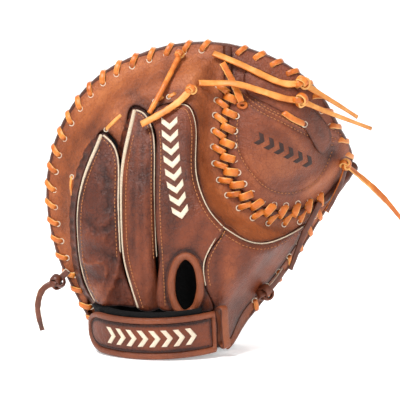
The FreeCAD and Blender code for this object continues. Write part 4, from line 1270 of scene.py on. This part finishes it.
def make_heel_edge():
    """The dark rolled leather along the lower edge of the wrist opening, under the strap; its dark colour is
    partly painted shade under the strap.
    """
    run = np.linspace(along_strap(HEEL_EDGE_START), along_strap(BAND_END), 70)
    bow = 1 - ((run - run.mean()) / (run.max() - run.mean())) ** 2
    line = np.column_stack([run, -18.0 + 5.2 * smooth(bow * 1.6)])
    fat = 0.5 + 0.5 * smooth(bow * 2)
    rides(joined("heel_edge_roll", [roll_on(on_strap(HEEL_EDGE_AT), line, 0.0, 4.2, 3.6, scale=fat,
                                            count=14)],
                 [DARK]),
          "finger_side", "dark_leather")


def make_keeper():
    """The leather loop at the strap's fixed end."""
    middle = along_strap(KEEPER)
    loop = [(74.2, -13), (79.0, -14.2), (79.4, -6), (79.2, 4), (79.2, 14), (78.8, 21.2), (74.2, 21.4),
            (73.6, 4)]
    rounded = spline(loop, True, 1.5)
    at = np.vstack([on_strap(r)(np.array([(middle, v)]), np.zeros(1)) for r, v in rounded])
    centre = at.mean(0)
    ends = on_strap(KEEPER_AT)(np.array([(middle + 1, 4.0), (middle - 1, 4.0)]), np.zeros(2))
    wide = ends[:1] - ends[1:]
    tangent = directions(at, True)
    normal = np.cross(tangent, unit(wide))
    normal *= np.sign((normal * (at - centre)).sum(1))[:, None]
    shape = sweep(at, normal, lace_section(8.6, 2.2), True)
    rides(joined("keeper_loop", [shape], [BINDING, ROLL], lace_material), "finger_side", "binding_leather",
          "strap_keeper")


make_strap()
make_wrist_band()
make_heel_edge()
make_keeper()


# ================================================================ lacing
def spaced(line, pitch):
    """Points pitch apart along a line, with the directions there and the normals to their left."""
    step = np.linalg.norm(np.diff(line, axis=0), axis=1)
    run = np.concatenate([[0], np.cumsum(step)])
    at = np.arange(pitch / 2, run[-1], pitch)
    q = np.column_stack([np.interp(at, run, line[:, 0]), np.interp(at, run, line[:, 1])])
    return q, directions(q), left_of(q)


LACE_STEP = 1.1


def lace_shape(path, core, wide, thick):
    """A flat lace along a path, its face turned away from the core point that it wraps."""
    return sweep(path, unit(path - core), lace_section(wide, thick))


def hole_edge(place, q, radius=2.3, lift=0.35):
    """The pale punched rim of a lace hole."""
    return roll_on(place, q + oval(radius, radius, 16), lift, 0.55, 0.5, True, None, 6)


RIM_HOLE_IN, RIM_HOLE_BACK = 7.8, 3.9       # a rim lace's hole: in from the edge, and back along it
WRAP = [(-7.4, -3.9, "back", -2.2), (-7.1, -3.8, "back", 0.8), (-5.2, -2.9, "back", 2.1),
        (-2.4, -0.9, "back", 2.4),
        (-0.4, 0.8, "back", 1.5), (0.9, 2.2, "edge", 0.14), (1.3, 2.9, "edge", 0.5), (0.9, 3.2, "edge", 0.86),
        (-0.4, 3.0, "front", 1.4), (-2.4, 1.8, "front", 2.1), (-5.2, -1.2, "front", 2.0),
        (-7.1, -3.2, "front", 0.8),
        (-7.4, -3.9, "front", -2.0)]


def wrap(q, t, outward, back, stations=WRAP, wide=5.0, thick=1.7, stretch=1.0):
    """One whip stitch round an edge: stations are (outward, along, side, lift)."""
    points = []
    for o, s, side, lift in stations:
        p = (q + outward * o + t * s * stretch)[None]
        y_back, y_front = back(p)[0], bowl(p)[0]
        if side == "back":
            y = y_back - lift
        elif side == "front":
            y = y_front + lift
        else:
            y = y_back + (y_front - y_back) * lift
        points.append((p[0, 0], y, p[0, 1]))
    path = spline(points, step=LACE_STEP)
    core_p = (q - outward * 3.5)[None]
    core = np.array([core_p[0, 0], (back(core_p)[0] + bowl(core_p)[0]) / 2, core_p[0, 1]])
    return lace_shape(path, core, wide, thick)


def make_rim_lace():
    line = np.vstack([RIM, RIM[:1]])
    q, t, out = spaced(line, RIM_PITCH)
    keep = (q[:, 1] > 22) & (distance(q, WEB_EDGE) > 9)
    random = np.random.RandomState(3)
    laces, holes = [], []
    for a, b, c in zip(q[keep], t[keep], out[keep]):
        stretch = 0.9 + 0.35 * random.rand()
        laces.append(wrap(a, b, c, outside(outer_back), stretch=stretch, wide=4.4 + 0.7 * random.rand()))
        hole = a - c * RIM_HOLE_IN - b * RIM_HOLE_BACK * stretch
        holes += [hole_edge(on_back(outer_back), hole), hole_edge(on_front, hole)]
    bends(joined("rim_lacing", laces, [ORANGE, TAN], lace_material), "tan_lace", *both("rim_lace"))
    bends(joined("rim_hole_edges", holes, [RAW_EDGE]), "cream_trim")


OUTER_BAR = [(-8.8, -3.0, -2.0), (-8.4, -2.8, 1.0), (-6.2, -1.6, 2.7), (-3.2, 0.2, 3.4), (-0.8, 1.8, 2.6),
             (0.6, 2.8, 0.4), (1.0, 3.0, -2.0)]
INNER_BAR = [(9.2, 2.6, -2.0), (8.8, 2.5, 1.0), (6.6, 1.7, 3.2), (3.4, 0.6, 4.4), (0.4, -0.5, 3.8),
             (-1.4, -1.2, 1.6), (-1.9, -1.4, -1.5)]
FRONT_BAR = [(-9.4, 0.0, -2.0), (-9.0, 0.0, 0.9), (-5.0, 0.6, 2.1), (0.0, 1.6, 2.4), (5.0, 2.6, 2.1),
             (9.0, 3.2, 0.9),
             (9.4, 3.2, -2.0)]


def bar(q, t, n, stations, wide, thick, front=False, height=1.0):
    """A lace bar across the web seam: stations are (towards the web, along, lift)."""
    points = []
    for o, s, lift in stations:
        p = (q + n * o + t * s)[None]
        y = bowl(p)[0] + lift if front else outside(palm_back)(p)[0] - lift * height
        points.append((p[0, 0], y, p[0, 1]))
    path = spline(points, step=LACE_STEP)
    core = path.mean(0) + (0, -14 if front else 14, 0)
    return lace_shape(path, core, wide, thick)


def make_web_lace():
    line = WEB_EDGE[(WEB_EDGE[:, 1] < 246) | (WEB_EDGE[:, 0] > 60)]
    q, t, n = spaced(line, WEB_PITCH)
    keep = distance(q, RIM) > 12
    random = np.random.RandomState(8)
    laces, holes = [], []
    for i, (a, b, c) in enumerate(zip(q[keep], t[keep], n[keep])):
        low = 0.85 + 0.3 * random.rand()
        half = b * WEB_PITCH / 2
        laces.append(bar(a, b, c, OUTER_BAR, 4.9 + 0.7 * random.rand(), 1.9, height=low))
        laces.append(bar(a + half, b, c, INNER_BAR, 6.4 + 0.7 * random.rand(), 2.1, height=low))
        laces.append(bar(a, b, c, FRONT_BAR, 5.0, 1.7, front=True))
        holes.append(hole_edge(on_back(palm_back), a - c * 9.3 - b * 3.1, 2.3, 0.8))
        holes.append(hole_edge(on_back(palm_back), a + half + c * 9.8 + b * 2.7, 2.4, 0.9))
    bends(joined("web_lacing", laces, [ORANGE, TAN], lace_material), "tan_lace", *both("web_lace"))
    bends(joined("web_hole_edges", holes, [RAW_EDGE]), "cream_trim")


def short_lace(place, points, wide=3.6, thick=1.6, lift=1.2):
    """A bit of lace lying on the leather, both ends going into it."""
    line = spline(points, step=1.2)
    rise = lift * np.sin(np.linspace(0, math.pi, len(line))) ** 0.5 - 0.6
    at, normal = surface_frame(place, line, rise)
    return sweep(at, normal, lace_section(wide, thick))


def make_short_laces():
    """Where the inner lacing shows through the back between two holes."""
    back = on_back(outer_back)
    places = [[(-85, 201), (-76, 210), (-71, 214.5)], [(-117.5, 157), (-118.5, 148), (-117, 140)],
              [(-113, 101), (-114, 92), (-112, 84)], [(-40.5, 227), (-33, 231)], [(-28, 231), (-22, 234)]]
    shapes = [short_lace(back, line) for line in places]
    holes = [hole_edge(back, np.array(line[0], float), 1.9) for line in places]
    rides(joined("finger_lace_bits", shapes, [PALE_LACE, ORANGE], lace_material), "finger_side", "tan_lace")
    rides(joined("finger_hole_rims", holes, [RAW_EDGE]), "finger_side", "cream_trim")
    web = on_back(palm_back, BAND_LIFT)
    bit = short_lace(web, [(75, 217), (84, 211), (94, 206.5)], 5.2, 1.8, 3.4)
    ring = hole_edge(web, np.array([94.5, 206.0]), 2.6, 0.8)
    bends(joined("web_lace_bit", [bit], [ORANGE, TAN], lace_material), "tan_lace")
    bends(joined("web_bit_rim", [ring], [RAW_EDGE]), "cream_trim")


make_rim_lace()
make_web_lace()
make_short_laces()

# ================================================================ free laces, in metres
HEEL_KNOT = (0.060, 0.014, 0.050)
HEEL_STITCH = [HEEL_KNOT, (0.0655, 0.0165, 0.055), (0.072, 0.0215, 0.062), (0.078, 0.0255, 0.070)]
UPPER_KNOT, LOWER_KNOT = (0.092, -0.004, 0.2435), (0.090, -0.0095, 0.228)
THUMB_KNOT, PINKY_KNOT, FINGER_BUTTON = (0.137, 0.055, 0.166), (-0.132, 0.024, 0.059), (-0.008, -0.020, 0.238)
ROUTES = {
    "upper_web_lace": [(0.012, 0.005, 0.270), (0.0325, 0, 0.262), (0.054, -0.006, 0.2515),
                       (0.076, -0.008, 0.2415),
                       UPPER_KNOT, (0.111, 0.010, 0.232), (0.130, 0.024, 0.221), (0.146, 0.038, 0.211)],
    "lower_web_lace": [(-0.001, -0.011, 0.2435), (0.014, -0.008, 0.243), (0.031, -0.0115, 0.2435),
                       (0.056, -0.013, 0.236), (0.076, -0.0125, 0.229), LOWER_KNOT, (0.111, 0.007, 0.2185),
                       (0.136, 0.026, 0.209), (0.160, 0.046, 0.200)],
    "web_edge_lace": [(0.020, -0.003, 0.2615), (0.026, -0.003, 0.251), (0.032, -0.0065, 0.239),
                      (0.037, -0.009, 0.2265)],
    "round_finger_lace": [(-0.0195, 0.006, 0.266), (-0.025, -0.002, 0.255), (-0.033, -0.013, 0.239),
                          (-0.040, -0.018, 0.226), (-0.045, -0.021, 0.217)],
    "flat_finger_lace": [(-0.052, -0.024, 0.207), (-0.041, -0.0265, 0.213), (-0.026, -0.026, 0.2215),
                         (-0.015, -0.0225, 0.230), FINGER_BUTTON],
    "thumb_lace": [THUMB_KNOT, (0.152, 0.069, 0.154), (0.169, 0.079, 0.1395), (0.186, 0.088, 0.122),
                   (0.200, 0.094, 0.104)],
    "thumb_edge_lace": [(0.1365, 0.058, 0.160), (0.134, 0.057, 0.151), (0.1295, 0.055, 0.140),
                        (0.119, 0.048, 0.122)],
    "hanging_thumb_lace": [(0.112, 0.042, 0.131), (0.1045, 0.0375, 0.117), (0.0955, 0.033, 0.101),
                           (0.0895, 0.0275, 0.085), (0.0835, 0.021, 0.071)],
    "pinky_heel_lace": [(-0.122, 0.020, 0.070), PINKY_KNOT, (-0.146, 0.024, 0.054), (-0.151, 0.024, 0.040),
                        (-0.1505, 0.025, 0.026), (-0.147, 0.028, 0.013)],
}
LACE_WIDE, LACE_THICK, ROUND_WIDE = 6.0, 1.7, 4.8


def smooth_route(name):
    """Millimetre points along the NURBS line that the route's points control."""
    data = bpy.data.curves.new(name + "_line", "CURVE")
    data.dimensions = "3D"
    data.resolution_u = 16
    line = data.splines.new("NURBS")
    line.points.add(len(ROUTES[name]) - 1)
    for point, place in zip(line.points, ROUTES[name]):
        point.co = (*place, 1)
    line.order_u = 3
    line.use_endpoint_u = True
    thing = bpy.data.objects.new(name + "_line", data)
    bpy.context.collection.objects.link(thing)
    mesh = bpy.data.meshes.new_from_object(thing)
    points = np.array([tuple(v.co) for v in mesh.vertices]) / MM
    bpy.data.objects.remove(thing)
    bpy.data.meshes.remove(mesh)
    return points


def free_lace(name, materials, far_end, across=None, roll=0.0, round_lace=False,
              bend=False, thin=0.2, body="finger_side", slot="tan_lace"):
    """A free lace as a mesh along its smooth route.

    across is the way its face looks, roll how far that turns by the end, thin how much a bare end narrows.
    """
    path = smooth_route(name)
    face = np.tile(np.array((0.0, -1.0, 0.25) if across is None else across), (len(path), 1))
    turn = np.linspace(0, math.radians(roll), len(path))[:, None]
    tangent = directions(path)
    face = face - tangent * (face * tangent).sum(1)[:, None]
    face = unit(face) * np.cos(turn) + np.cross(tangent, unit(face)) * np.sin(turn)
    run = np.linspace(0, 1, len(path))
    size = 1 + 0.04 * np.sin(run * 31) + 0.03 * np.sin(run * 57 + 1)
    size = size * (1 - thin * smooth((run - 0.5) / 0.5)) if far_end == "bare" else size
    section = oval(ROUND_WIDE / 2, ROUND_WIDE / 2, 14) if round_lace else lace_section(LACE_WIDE, LACE_THICK)
    shape = sweep(path, face, section, scale=size)
    thing = joined(name + "_strand", [shape], materials, None if round_lace else lace_material)
    if bend:
        bends(thing, slot, name)
    else:
        rides(thing, body, slot, name)
    return thing


def knot(name, centres, materials, size=3.0, wide=4.0, turns=(0.4, 0.9)):
    """Overhand knots: a flat lace closely wound in a trefoil round each centre."""
    shapes = []
    u = np.linspace(0, 2 * math.pi, 64, endpoint=False)
    for i, centre in enumerate(centres):
        loop = np.column_stack([(1.05 + 0.55 * np.cos(3 * u)) * np.cos(2 * u), 0.75 * np.sin(3 * u),
                                (1.05 + 0.55 * np.cos(3 * u)) * np.sin(2 * u)]) * size
        a, b = turns[0] + 0.7 * i, turns[1]
        spin = np.array([[math.cos(a), 0, math.sin(a)], [0, 1, 0], [-math.sin(a), 0, math.cos(a)]])
        tip = np.array([[1, 0, 0], [0, math.cos(b), -math.sin(b)], [0, math.sin(b), math.cos(b)]])
        path = loop @ spin.T @ tip.T
        shapes.append(sweep(path + np.array(centre) / MM, unit(path), lace_section(wide, 1.9), True))
    return joined(name, shapes, materials, lace_material)


def make_free_laces():
    light = [PALE_LACE, ORANGE]
    web_knots = bends(knot("web_lace_knot_pair", [UPPER_KNOT, LOWER_KNOT], [ORANGE, TAN], 3.9, 5.4),
                      "tan_lace", "web_lace_knots")
    free_lace("upper_web_lace", light, "bare", (0.1, -0.8, 0.6), 38, bend=True,
              thin=0.42)
    free_lace("lower_web_lace", light, "bare", (0.1, -0.8, 0.6), 38, bend=True, thin=0.42)
    free_lace("web_edge_lace", [ORANGE, TAN], "object", (0.5, -0.8, 0.1), 30,
              body="finger_side")
    free_lace("round_finger_lace", [ORANGE], "object", round_lace=True)
    rides(knot("rim_knot", [(-0.0185, 0.008, 0.2695)], [ORANGE, TAN], 2.2, 4.2), "finger_side", "tan_lace")
    ring = np.array([38.0, 223.5]) + oval(3.4, 2.2, 20)
    end = joined("web_edge_ring", [roll_on(on_back(palm_back), ring, 1.8, 1.6, 1.5, True)], [ORANGE])
    bends(end, "tan_lace")
    button = rides(knot("finger_button", [FINGER_BUTTON], [ORANGE, TAN], 2.7, 4.6), "finger_side", "tan_lace",
                   "finger_lace_button")
    free_lace("flat_finger_lace", light, "knot", (-0.3, -0.9, 0.4), 20)
    thumb = rides(knot("thumb_knot", [THUMB_KNOT], [ORANGE, TAN], 3.0, 4.8, (1.2, 0.2)), "thumb_side",
                  "tan_lace", "thumb_lace_knots")
    path = spline(HEEL_STITCH, step=0.0015) / MM
    face = np.tile((0.6, -0.8, 0.0), (len(path), 1))
    stitch = sweep(path, face, lace_section(LACE_WIDE, LACE_THICK))
    rides(joined("thumb_heel_stitch", [stitch], [BROWN_LACE, RAW_EDGE], lace_material), "thumb_side",
          "dark_lace")
    rides(knot("thumb_heel_knot", [HEEL_KNOT], [BROWN_LACE, BROWN_LACE], 4.4, 7.6, (0.4, 0.5)), "thumb_side",
          "dark_lace")
    free_lace("thumb_lace", [ORANGE, TAN], "bare", (0.5, -0.6, 0.6), 60,
              body="thumb_side",
              thin=0.4)
    free_lace("thumb_edge_lace", [BROWN_LACE, ORANGE], "bare", (0.8, -0.6, 0), 20,
              body="thumb_side",
              slot="dark_lace")
    free_lace("hanging_thumb_lace", [BROWN_LACE, BROWN_LACE], "bare", (0.6, -0.8, 0), 10,
              body="thumb_side", slot="dark_lace")
    heel = rides(knot("heel_knot", [PINKY_KNOT], [BROWN_LACE, BROWN_LACE], 4.0, 7.0, (2.0, 0.3)),
                 "finger_side",
                 "dark_lace", "pinky_heel_lace_knot")
    free_lace("pinky_heel_lace", [BROWN_LACE, RAW_EDGE], "bare", (0.5, -0.8, 0.3), 40,
              slot="dark_lace")


make_free_laces()
